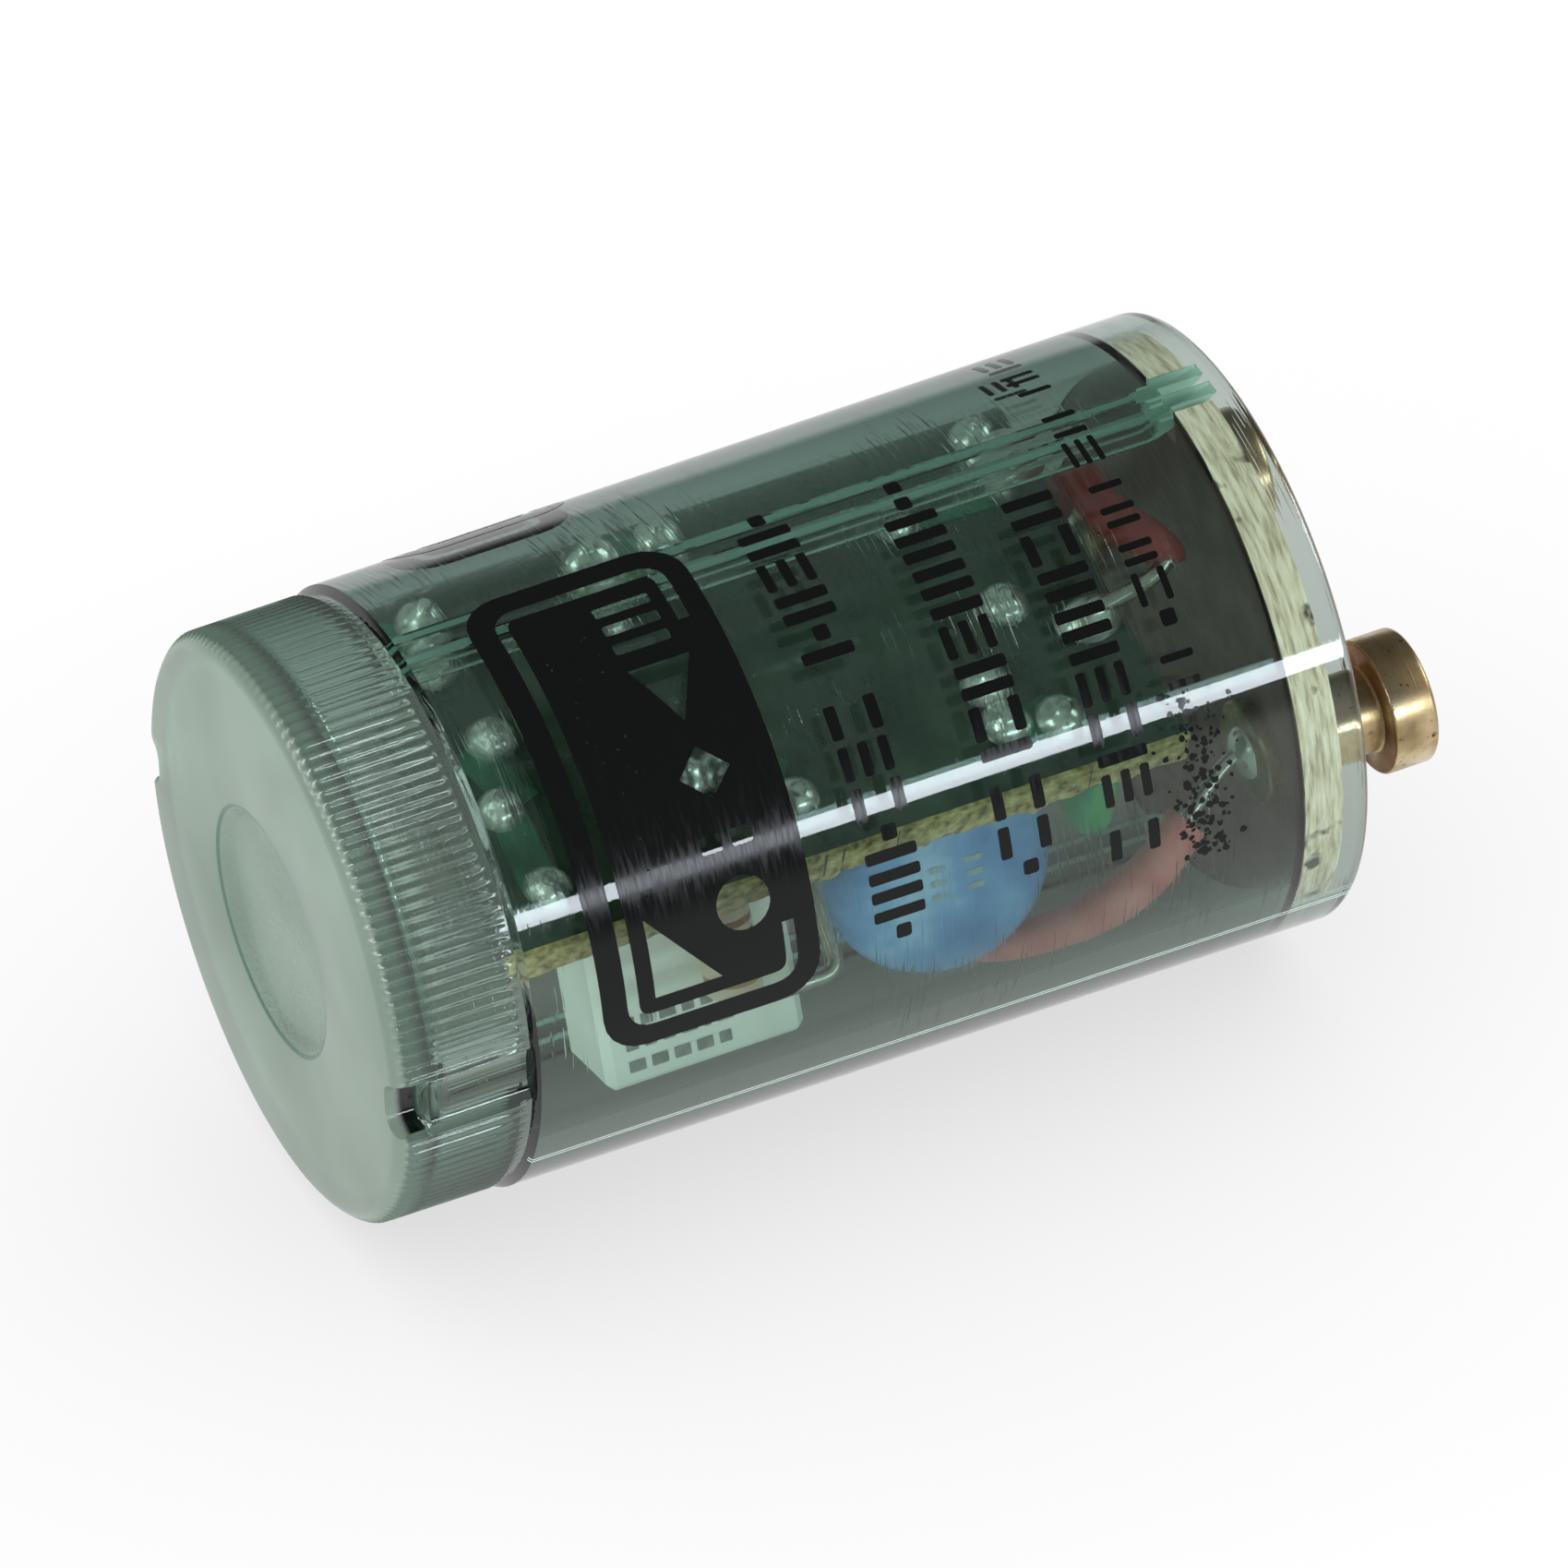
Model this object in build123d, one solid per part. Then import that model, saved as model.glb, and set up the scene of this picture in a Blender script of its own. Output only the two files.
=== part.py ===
"""Fluorescent lamp starter with an electronic circuit in a clear green canister.

Units are millimetres. The starter stands on its closed end, the axis is +Z
and runs to the contact pins, and the two pins lie along X. The origin is the
centre of the closed end.
"""
from build123d import *
from math import atan, cos, degrees, radians, sin, sqrt, tan
import os

# Canister
BODY_LENGTH = 35.25
MOUTH_RADIUS = 10.75
OUTER_DRAFT = 0.567
LIP_WALL = 0.75
LIP_ROUND = 0.2
SEAT_DEPTH = 2.25
SEAT_STEP = 0.7
FLOOR = 1.5

# The layout of what follows keeps its place in a wider or longer canister
ACROSS = MOUTH_RADIUS / 10.75
ALONG = BODY_LENGTH / 35.25
DIMPLE_RADIUS = 4.43 * ACROSS
DIMPLE_DEPTH = 0.45
DIMPLE_LEDGE = 0.5

# Grip band round the closed end
BAND_HEIGHT = 4.8 * ALONG
BAND_INSET = 0.3
BAND_ROUND = 0.55
STEP_ROUND = 0.2
GRIP_RIBS = 144
RIB_HEIGHT = 0.16
RIB_BOTTOM = 0.4
RIB_TOP_CLEAR = 0.3
NOTCH_WIDTH = 2.5
NOTCH_DEPTH = 0.7
NOTCH_FOOT_DEPTH = 1.3
NOTCH_FOOT_HEIGHT = 1.1

# Guide ribs inside the wall, in two facing pairs
GUIDE_ANGLE = -92.2
GUIDE_SPACING = 0.95
GUIDE_WIDTH = 0.5
GUIDE_DEPTH = 0.75
GUIDE_BOTTOM = 5.0 * ALONG
GUIDE_BELOW_RIM = 0.55

# Base disc
DISC_THICKNESS = 1.45
DISC_CLEAR = 0.1
DISC_NOTCH_WIDTH = 1.9
DISC_NOTCH_DEPTH = 1.5

# Contact pins
PIN_SPACING = 12.7 * ACROSS
PIN_HEAD_RADIUS = 2.35 * ACROSS
PIN_HEAD_HEIGHT = 1.64
PIN_PROUD = 3.69
PIN_HEAD_ROUND = 0.2
PIN_NECK_RADIUS = 1.5 * ACROSS
PIN_SHANK_RADIUS = 1.1 * ACROSS
PIN_RIVET_RADIUS = 1.75 * ACROSS
PIN_RIVET_HEIGHT = 0.45
PIN_SOLDER_RADIUS = 1.25 * ACROSS
PIN_SOLDER_HEIGHT = 0.85

# Circuit board. Its places are given across the board, up the axis, and in
# depth behind the solder face, which looks out at BOARD_ANGLE.
BOARD_ANGLE = -76.0
BOARD_OFFSET = 5.65 * ACROSS
BOARD_CLEAR = 0.12
BOARD_BOTTOM = 4.6 * ALONG
BOARD_TOP = 29.5 * ALONG
BOARD_THICKNESS = 1.2 * ACROSS
TRACK_THICKNESS = 0.05
TRACK_WIDTH = 1.3 * ACROSS
PAD_RADIUS = 0.85 * ACROSS
HOLE_RADIUS = 0.4 * ACROSS
LEAD_RADIUS = 0.25 * ACROSS
LEAD_CLEAR = 0.6 * ACROSS
SOLDER_RADIUS = 0.7 * ACROSS
SOLDER_HEIGHT = 0.6
SOLDER_TAPER = 32

# Insulated wires
WIRE_RADIUS = 0.7 * ACROSS
CORE_RADIUS = 0.28 * ACROSS
WIRE_STEPS = 10
WIRE_SIDES = 6

# Where each lead comes through the board: across, up
JOINTS = {
    "film_low": (1.95, 6.9),
    "film_high": (2.96, 13.0),
    "disc_low": (4.95, 16.15),
    "disc_high": (4.82, 23.9),
    "green_left": (3.24, 23.9),
    "green_right": (5.2, 25.7),
    "upright_low": (5.2, 7.1),
    "upright_high": (3.1, 14.3),
    "flat_low": (-3.96, 7.2),
    "flat_high": (-3.76, 13.4),
    "diode_a_low": (-6.15, 16.4),
    "diode_a_high": (-3.8, 24.0),
    "diode_b_low": (-5.9, 7.6),
    "diode_b_high": (-6.15, 13.9),
    "zener_foot": (-0.7, 7.8),
    "zener_end": (-4.9, 6.0),
    "thyristor_1": (-6.15, 28.0),
    "thyristor_2": (-5.1, 28.7),
    "thyristor_3": (-4.0, 28.0),
    "wire_a": (0.53, 25.95),
    "wire_b": (2.1, 28.3),
}
JOINTS = {name: (across * ACROSS, up * ALONG) for name, (across, up) in JOINTS.items()}

# Which joints the copper tracks connect
TRACKS = [
    ("diode_b_low", "zener_end"),
    ("zener_end", "flat_low"),
    ("flat_high", "diode_b_high"),
    ("diode_b_high", "diode_a_low"),
    ("zener_foot", "film_low"),
    ("film_high", "upright_high"),
    ("upright_high", "disc_low"),
    ("upright_low", "film_low"),
    ("diode_a_high", "thyristor_3"),
    ("disc_high", "green_right"),
    ("thyristor_1", "thyristor_2"),
]

os.makedirs("parts", exist_ok=True)
seat_z = BODY_LENGTH - SEAT_DEPTH
seat_radius = MOUTH_RADIUS - LIP_WALL
inner_radius = seat_radius - SEAT_STEP


def outer_radius(z):
    """Outside radius of the canister at a height."""
    return MOUTH_RADIUS - (BODY_LENGTH - z) * tan(radians(OUTER_DRAFT))


def turned(outline):
    """Solid turned from its half outline. A tapered line is a straight curve, which has few facets."""
    edges = []
    for start, end in zip(outline, outline[1:] + outline[:1]):
        middle = ((start[0] + end[0]) / 2, (start[1] + end[1]) / 2)
        tapered = start[0] != end[0] and start[1] != end[1]
        edges.append(Bezier(start, middle, end) if tapered else Line(start, end))
    return revolve(Plane.XZ * make_face(edges), axis=Axis.Z)


def upright_plane(angle, offset):
    """Plane that faces out at an angle, its x across and its y up the axis."""
    out = Vector(cos(radians(angle)), sin(radians(angle)), 0)
    return Plane(origin=out * offset, x_dir=Vector(-out.Y, out.X, 0), z_dir=out)


def wire(points, radius=LEAD_RADIUS):
    """Bent wire through the points, six-sided."""
    route = Polyline(*points)
    section = Plane(origin=route @ 0, z_dir=route % 0) * RegularPolygon(radius, WIRE_SIDES)
    return sweep(section, path=route, transition=Transition.RIGHT)


board_plane = upright_plane(BOARD_ANGLE, BOARD_OFFSET)
board = Location(board_plane)


def at_board(place, depth):
    """Row point of a place on the board, at a depth behind the solder face."""
    return board_plane.from_local_coords(Vector(place[0], place[1], -depth))


def foot(joint):
    """Last two points of a lead: just behind the board, and under its pad."""
    return [at_board(JOINTS[joint], BOARD_THICKNESS + LEAD_CLEAR), at_board(JOINTS[joint], 0)]


# Canister: one moulding, turned from its half section
step_z = BAND_HEIGHT + STEP_ROUND
band_radius = outer_radius(BAND_HEIGHT) - BAND_INSET
half_section = [
    (0, FLOOR),
    (0, DIMPLE_DEPTH),
    (DIMPLE_RADIUS - DIMPLE_LEDGE, DIMPLE_DEPTH),
    (DIMPLE_RADIUS, 0),
    (band_radius - BAND_ROUND, 0),
    (band_radius, BAND_ROUND),
    (band_radius, BAND_HEIGHT),
    (outer_radius(step_z), step_z),
    (outer_radius(BODY_LENGTH - LIP_ROUND), BODY_LENGTH - LIP_ROUND),
    (MOUTH_RADIUS - LIP_ROUND, BODY_LENGTH),
    (seat_radius, BODY_LENGTH),
    (seat_radius, seat_z),
    (inner_radius, seat_z),
    (inner_radius, FLOOR),
]
canister = turned(half_section)

# Fine V ribs of the grip, as one sawtooth ring
teeth = []
for i in range(GRIP_RIBS):
    for radius, turn in ((band_radius, i), (band_radius + RIB_HEIGHT, i + 0.5)):
        angle = radians(360 * turn / GRIP_RIBS)
        teeth.append((radius * cos(angle), radius * sin(angle)))
ring = make_face(Polyline(*teeth, close=True)) - Circle(band_radius - BAND_ROUND)
canister += extrude(Pos(0, 0, RIB_BOTTOM) * ring, BAND_HEIGHT - RIB_TOP_CLEAR - RIB_BOTTOM)

# Two smooth notches in the band, in line with the pins, deeper at their foot
for depth, height in ((NOTCH_DEPTH, BAND_HEIGHT), (NOTCH_FOOT_DEPTH, NOTCH_FOOT_HEIGHT)):
    cutter = Pos(outer_radius(0), 0, height / 2) * Box(2 * depth, NOTCH_WIDTH, height)
    for side in (0, 180):
        canister -= Rot(0, 0, side) * cutter

# Guide ribs, from near the floor up to beside the disc
guide_inner = inner_radius - GUIDE_DEPTH
guide_outer = seat_radius + LIP_WALL / 8
guide_top = BODY_LENGTH - GUIDE_BELOW_RIM
guide = Pos((guide_inner + guide_outer) / 2, 0, (GUIDE_BOTTOM + guide_top) / 2) * Box(
    guide_outer - guide_inner, GUIDE_WIDTH, guide_top - GUIDE_BOTTOM
)
for side in (GUIDE_ANGLE, GUIDE_ANGLE + 180):
    for shift in (-GUIDE_SPACING / 2, GUIDE_SPACING / 2):
        canister += Rot(0, 0, side) * Pos(0, shift, 0) * guide

# Base disc: pressed board on the seat, notched round the guide ribs
disc_top = seat_z + DISC_THICKNESS
disc_radius = seat_radius - DISC_CLEAR
base_disc = Pos(0, 0, seat_z + DISC_THICKNESS / 2) * Cylinder(disc_radius, DISC_THICKNESS)
for side in (GUIDE_ANGLE, GUIDE_ANGLE + 180):
    cutter = Pos(disc_radius, 0, seat_z) * Box(2 * DISC_NOTCH_DEPTH, DISC_NOTCH_WIDTH, 4 * DISC_THICKNESS)
    base_disc -= Rot(0, 0, side) * cutter
for x in (-PIN_SPACING / 2, PIN_SPACING / 2):
    base_disc -= Pos(x, 0, seat_z) * Cylinder(PIN_SHANK_RADIUS, 4 * DISC_THICKNESS)

# Contact pins: turned, with a shank riveted over under the disc
pin_top = BODY_LENGTH + PIN_PROUD
head_z = pin_top - PIN_HEAD_HEIGHT
rivet_z = seat_z - PIN_RIVET_HEIGHT
pin_outline = [
    (0, rivet_z),
    (PIN_RIVET_RADIUS, rivet_z),
    (PIN_RIVET_RADIUS, seat_z),
    (PIN_SHANK_RADIUS, seat_z),
    (PIN_SHANK_RADIUS, disc_top),
    (PIN_NECK_RADIUS, disc_top),
    (PIN_NECK_RADIUS, head_z),
    (PIN_HEAD_RADIUS, head_z),
    (PIN_HEAD_RADIUS, pin_top - PIN_HEAD_ROUND),
    (PIN_HEAD_RADIUS - PIN_HEAD_ROUND, pin_top),
    (0, pin_top),
]
pin = turned(pin_outline)
contact_pin_a = Pos(PIN_SPACING / 2, 0, 0) * pin
contact_pin_b = Pos(-PIN_SPACING / 2, 0, 0) * pin

# Circuit board with a hole for each lead; wire B is soldered on its face
board_half = sqrt((inner_radius - BOARD_CLEAR) ** 2 - BOARD_OFFSET**2)
board_outline = Pos(0, (BOARD_BOTTOM + BOARD_TOP) / 2) * Rectangle(2 * board_half, BOARD_TOP - BOARD_BOTTOM)
holes = [Pos(*place) * RegularPolygon(HOLE_RADIUS, 6) for name, place in JOINTS.items() if name != "wire_b"]
circuit_board = board * extrude(board_outline - holes, -BOARD_THICKNESS)

# Copper: a six-sided pad at each joint, and tracks between them
copper = Sketch() + [Pos(*place) * RegularPolygon(PAD_RADIUS, 6) for place in JOINTS.values()]
for start, end in TRACKS:
    track = Line(JOINTS[start], JOINTS[end])
    copper += Pos(track @ 0.5) * Rot(0, 0, Vector(1, 0, 0).get_signed_angle(track % 0)) * Rectangle(
        track.length, TRACK_WIDTH
    )
copper_tracks = board * extrude(copper & board_outline, TRACK_THICKNESS)

# Film capacitor: a box that leans out from the board, and its two leads
FILM_ANGLE = -19.0
FILM_LEFT, FILM_RIGHT = -0.8 * ACROSS, 6.6 * ACROSS
FILM_BOTTOM, FILM_TOP = 8.5 * ALONG, 15.7 * ALONG
FILM_BACK, FILM_FRONT = 2.6 * ACROSS, 5.9 * ACROSS
FILM_EDGE = 0.3 * ACROSS
film_plane = upright_plane(FILM_ANGLE, 0)
film = Location(film_plane)
box = Box(FILM_RIGHT - FILM_LEFT, FILM_TOP - FILM_BOTTOM, FILM_FRONT - FILM_BACK)
middle = ((FILM_LEFT + FILM_RIGHT) / 2, (FILM_BOTTOM + FILM_TOP) / 2, (FILM_BACK + FILM_FRONT) / 2)
film_capacitor = film * Pos(*middle) * chamfer(box.edges(), FILM_EDGE)


def at_film(x, y, z):
    """Row point given in the film capacitor's leaning plane."""
    return film_plane.from_local_coords(Vector(x, y, z))


film_capacitor_leads = [
    wire([at_film(FILM_LEFT + FILM_EDGE, FILM_BOTTOM + 4 * FILM_EDGE, middle[2])] + foot("film_low")),
    wire([at_film(FILM_LEFT + FILM_EDGE, FILM_TOP - 4 * FILM_EDGE, middle[2])] + foot("film_high")),
]
film_capacitor -= film_capacitor_leads

# Disc capacitor, on edge beside the board, its round edge in fine facets
DISC_CAP_RADIUS = 4.05 * sqrt(ACROSS * ALONG)
DISC_CAP_HALF = 1.5 * ACROSS
DISC_CAP_ANGLE = -16.0
DISC_CAP_OFFSET = 4.1 * ACROSS
DISC_CAP_SIDE = 3.03 * ACROSS
DISC_CAP_Z = 21.9 * ALONG
disc_plane = upright_plane(DISC_CAP_ANGLE, DISC_CAP_OFFSET)
DISC_CAP_SIDES = 40
edge = 0.6 * DISC_CAP_HALF
slope = degrees(atan(0.22 * DISC_CAP_RADIUS / edge))
outline = RegularPolygon(DISC_CAP_RADIUS, DISC_CAP_SIDES)
coin = extrude(outline, DISC_CAP_HALF - edge, both=True)
for side in (Rot(0, 0, 0), Rot(180, 0, 0)):
    coin += side * Pos(0, 0, DISC_CAP_HALF - edge) * extrude(outline, edge, taper=slope)
disc_capacitor = Location(disc_plane) * Pos(DISC_CAP_SIDE, DISC_CAP_Z, 0) * coin
disc_capacitor_leads = []
for joint, rise in (("disc_low", -0.6), ("disc_high", 0.2)):
    edge = DISC_CAP_SIDE - DISC_CAP_RADIUS * (sqrt(1 - rise**2) - 0.08)
    start = disc_plane.from_local_coords(Vector(edge, DISC_CAP_Z + rise * DISC_CAP_RADIUS, 0))
    disc_capacitor_leads.append(wire([start] + foot(joint)))
disc_capacitor -= disc_capacitor_leads

# Green dipped capacitor, flat across the board
GREEN_LEFT, GREEN_RIGHT = 2.3 * ACROSS, 6.5 * ACROSS
GREEN_NEAR, GREEN_FAR = 1.9 * ACROSS, 6.2 * ACROSS
GREEN_BOTTOM, GREEN_TOP = 26.5 * ALONG, 27.85 * ALONG
GREEN_EDGE = 0.35 * ALONG
box = Box(GREEN_RIGHT - GREEN_LEFT, GREEN_TOP - GREEN_BOTTOM, GREEN_FAR - GREEN_NEAR)
middle = ((GREEN_LEFT + GREEN_RIGHT) / 2, (GREEN_BOTTOM + GREEN_TOP) / 2, -(GREEN_NEAR + GREEN_FAR) / 2)
green_capacitor = board * Pos(*middle) * chamfer(box.edges(), GREEN_EDGE)
green_capacitor_leads = [
    wire([at_board((across, middle[1]), GREEN_NEAR + GREEN_EDGE)] + foot(joint))
    for joint, across in (("green_left", 3.3 * ACROSS), ("green_right", 5.5 * ACROSS))
]
green_capacitor -= green_capacitor_leads


def axial(low, high, radius, share, depth):
    """Part that lies on the board between two joints: its body and its bent lead."""
    span = Line(JOINTS[low], JOINTS[high])
    lead = wire(
        [
            at_board(JOINTS[low], 0),
            at_board(JOINTS[low], depth),
            at_board(JOINTS[high], depth),
            at_board(JOINTS[high], 0),
        ]
    )
    lay = Plane(origin=(span @ 0.5) - Vector(0, 0, depth), x_dir=(0, 0, 1), z_dir=span % 0)
    body = board * Location(lay) * Cylinder(radius, share * span.length)
    return body - lead, lead


diode_a, diode_a_leads = axial("diode_a_low", "diode_a_high", 1.2 * ACROSS, 0.58, 2.6 * ACROSS)
diode_b, diode_b_leads = axial("diode_b_low", "diode_b_high", 0.85 * ACROSS, 0.55, 2.3 * ACROSS)
flat_resistor, flat_resistor_leads = axial("flat_low", "flat_high", 0.85 * ACROSS, 0.58, 2.3 * ACROSS)

# Upright resistor beside the film capacitor
UPRIGHT_RADIUS = 0.95 * ACROSS
UPRIGHT_START, UPRIGHT_END = 0.5 * ACROSS, 3.7 * ACROSS
UPRIGHT_FRONT = 6.95 * ACROSS
UPRIGHT_Z = 13.0 * ALONG
UPRIGHT_CROSS_Z = 16.75 * ALONG
body = Cylinder(UPRIGHT_RADIUS, UPRIGHT_END - UPRIGHT_START)
upright_middle = (UPRIGHT_START + UPRIGHT_END) / 2
upright_resistor = film * Pos(upright_middle, UPRIGHT_Z, UPRIGHT_FRONT) * Rot(0, 90, 0) * body
start = at_film(UPRIGHT_START, UPRIGHT_Z, UPRIGHT_FRONT)
bend = at_film(UPRIGHT_START - LEAD_CLEAR, UPRIGHT_Z, UPRIGHT_FRONT)
end = at_film(UPRIGHT_END, UPRIGHT_Z, UPRIGHT_FRONT)
over = at_film(UPRIGHT_END + LEAD_CLEAR, UPRIGHT_Z, UPRIGHT_FRONT)
across = at_film(UPRIGHT_END + LEAD_CLEAR, UPRIGHT_CROSS_Z, UPRIGHT_FRONT)
back = at_board((JOINTS["upright_high"][0], UPRIGHT_CROSS_Z), 3.0 * ACROSS)
upright_resistor_leads = [
    wire([start, bend] + foot("upright_low")),
    wire([end, over, across, back] + foot("upright_high")),
]

# Zener diode, standing on one lead with the other bent back over
ZENER_RADIUS = 0.9 * ACROSS
ZENER_NEAR, ZENER_FAR = 1.7 * ACROSS, 5.3 * ACROSS
ZENER_OVER = ZENER_FAR + LEAD_CLEAR
zener_diode_leads = wire(
    [
        at_board(JOINTS["zener_foot"], 0),
        at_board(JOINTS["zener_foot"], ZENER_OVER),
        at_board(JOINTS["zener_end"], ZENER_OVER),
        at_board(JOINTS["zener_end"], 0),
    ]
)
body = Cylinder(ZENER_RADIUS, ZENER_FAR - ZENER_NEAR)
zener_diode = board * Pos(*JOINTS["zener_foot"], -(ZENER_NEAR + ZENER_FAR) / 2) * body - zener_diode_leads

# Thyristor: a small moulded body with one flat side, on three leads
THYRISTOR_RADIUS = 2.3 * ACROSS
THYRISTOR_FLAT = 1.3 * ACROSS
THYRISTOR_CENTRE = (-5.1 * ACROSS, 27.6 * ALONG)
THYRISTOR_NEAR, THYRISTOR_FAR = 3.0 * ACROSS, 7.6 * ACROSS
shape = Circle(THYRISTOR_RADIUS) - Pos(0, THYRISTOR_FLAT + THYRISTOR_RADIUS) * Rectangle(
    2 * THYRISTOR_RADIUS, 2 * THYRISTOR_RADIUS
)
thyristor = board * Pos(*THYRISTOR_CENTRE, -THYRISTOR_NEAR) * extrude(shape, THYRISTOR_NEAR - THYRISTOR_FAR)
thyristor_leads = [
    wire([at_board(JOINTS[name], THYRISTOR_NEAR), at_board(JOINTS[name], 0)])
    for name in ("thyristor_1", "thyristor_2", "thyristor_3")
]

# Insulated wires from the pins to the board: a core and its insulation
wire_a_route = Spline(
    (PIN_SPACING / 2, 0, rivet_z - 0.3),
    (7.4 * ACROSS, 2.6 * ACROSS, 28.6 * ALONG),
    (6.7 * ACROSS, 4.8 * ACROSS, 25.8 * ALONG),
    (4.5 * ACROSS, 6.8 * ACROSS, 23.6 * ALONG),
    (1.6 * ACROSS, 5.6 * ACROSS, 22.6 * ALONG),
    at_board(JOINTS["wire_a"], 3.0 * ACROSS),
    at_board(JOINTS["wire_a"], 0),
    tangents=((0, 0, -1), board_plane.z_dir),
)
wire_b_route = Spline(
    (-PIN_SPACING / 2, 0, rivet_z - 0.3),
    (-4.0 * ACROSS, -4.9 * ACROSS, 30.9 * ALONG),
    (-0.6 * ACROSS, -7.3 * ACROSS, 30.0 * ALONG),
    (1.8 * ACROSS, -7.6 * ACROSS, 29.9 * ALONG),
    (3.7 * ACROSS, -6.7 * ACROSS, 31.0 * ALONG),
    at_board(JOINTS["wire_b"], -TRACK_THICKNESS - 1.5 * CORE_RADIUS),
    tangents=((0, 0, -1), (0, 0, -1)),
)


def insulated(route, first, last):
    """Core along the whole route, and insulation from one of its steps to another."""
    points = [route @ (step / WIRE_STEPS) for step in range(WIRE_STEPS + 1)]
    core = wire(points, CORE_RADIUS)
    return wire(points[first : last + 1], WIRE_RADIUS) - core, core


wire_a_insulation, wire_a_core = insulated(wire_a_route, 1, WIRE_STEPS - 2)
wire_b_insulation, wire_b_core = insulated(wire_b_route, 1, WIRE_STEPS - 2)

# Solder: faceted drops on the pads over the leads, and on the riveted pin ends
drop = extrude(RegularPolygon(SOLDER_RADIUS, 6), SOLDER_HEIGHT, taper=SOLDER_TAPER)
board_solder = [board * Pos(*place, TRACK_THICKNESS) * drop - wire_b_core for place in JOINTS.values()]
drop = extrude(RegularPolygon(PIN_SOLDER_RADIUS, 8), PIN_SOLDER_HEIGHT, taper=SOLDER_TAPER)
pin_solder = [
    Pos(PIN_SPACING / 2, 0, rivet_z) * Rot(180, 0, 0) * drop - wire_a_core,
    Pos(-PIN_SPACING / 2, 0, rivet_z) * Rot(180, 0, 0) * drop - wire_b_core,
]

nodes = {
    "canister": canister,
    "base_disc": base_disc,
    "contact_pin_a": contact_pin_a,
    "contact_pin_b": contact_pin_b,
    "circuit_board": circuit_board,
    "copper_tracks": copper_tracks,
    "board_solder": board_solder,
    "pin_solder": pin_solder,
    "film_capacitor": film_capacitor,
    "film_capacitor_leads": film_capacitor_leads,
    "disc_capacitor": disc_capacitor,
    "disc_capacitor_leads": disc_capacitor_leads,
    "green_capacitor": green_capacitor,
    "green_capacitor_leads": green_capacitor_leads,
    "upright_resistor": upright_resistor,
    "upright_resistor_leads": upright_resistor_leads,
    "flat_resistor": flat_resistor,
    "flat_resistor_leads": flat_resistor_leads,
    "zener_diode": zener_diode,
    "zener_diode_leads": zener_diode_leads,
    "diode_a": diode_a,
    "diode_a_leads": diode_a_leads,
    "diode_b": diode_b,
    "diode_b_leads": diode_b_leads,
    "thyristor": thyristor,
    "thyristor_leads": thyristor_leads,
    "wire_a_insulation": wire_a_insulation,
    "wire_a_core": wire_a_core,
    "wire_b_insulation": wire_b_insulation,
    "wire_b_core": wire_b_core,
}
for name, shape in nodes.items():
    pieces = shape if isinstance(shape, list) else [shape]
    solids = [solid for piece in pieces for solid in piece.solids()]
    part = solids[0] if len(solids) == 1 else Compound(children=solids)
    part.label = name
    export_step(part, f"parts/{name}.step")
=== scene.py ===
"""Looks of an electronic lamp starter: clear green canister, printed ink, circuit board and brass pins."""

import math
import random

import bpy
from mathutils import Matrix, Vector, noise
from mathutils.geometry import delaunay_2d_cdt


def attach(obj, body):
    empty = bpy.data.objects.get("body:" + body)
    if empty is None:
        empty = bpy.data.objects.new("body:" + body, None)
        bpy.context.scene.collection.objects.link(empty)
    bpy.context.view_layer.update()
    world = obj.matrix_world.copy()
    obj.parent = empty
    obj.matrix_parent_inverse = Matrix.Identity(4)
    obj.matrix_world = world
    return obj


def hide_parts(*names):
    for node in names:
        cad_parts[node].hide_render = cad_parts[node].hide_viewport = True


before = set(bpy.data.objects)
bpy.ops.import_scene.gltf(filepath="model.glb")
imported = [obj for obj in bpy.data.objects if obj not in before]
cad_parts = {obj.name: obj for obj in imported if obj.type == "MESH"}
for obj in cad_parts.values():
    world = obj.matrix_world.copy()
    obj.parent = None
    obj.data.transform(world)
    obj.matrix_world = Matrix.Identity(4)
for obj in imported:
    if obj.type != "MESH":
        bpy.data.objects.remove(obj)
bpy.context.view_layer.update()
scene = bpy.context.scene
MM = 0.001

# Canister, in millimetres, as the CAD has it
LENGTH, MOUTH, DRAFT = 35.25, 10.75, math.tan(math.radians(0.567))
FLOOR, SEAT_Z, SEAT_R, INNER = 1.5, 33.0, 10.0, 9.3
BAND, BAND_INSET, SHOULDER = 4.8, 0.3, 0.55
RIBS, RIB_HEIGHT, RIB_TOP = 144, 0.16, 4.5
NOTCH_HALF, NOTCH_R, NOTCH_FOOT_R, NOTCH_RIM_R = 1.25, 9.7, 9.1, 10.3
GUIDE_ANGLE, GUIDE_SPACING, GUIDE_WIDTH, GUIDE_R = -92.2, 0.95, 0.5, 8.55
GUIDE_BOTTOM, GUIDE_RUN_OUT, GUIDE_TOP = 5.0, 32.6, 34.7
DIMPLE, DIMPLE_DEPTH, DIMPLE_LEDGE = 4.43, 0.45, 0.5
LIP, BASE_R, SEAM_ANGLE = 0.32, 9.85, 26.0
# Step from the band to the wall: heights, and how much of the inset is gone there
STEP = ((BAND + 0.05, 0.25), (BAND + 0.11, 0.6), (BAND + 0.2, 1.0))
# Contact pins: offset from the axis, and height of their riveted ends
PIN_X, PIN_FOOT = 6.35, 32.55

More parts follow.
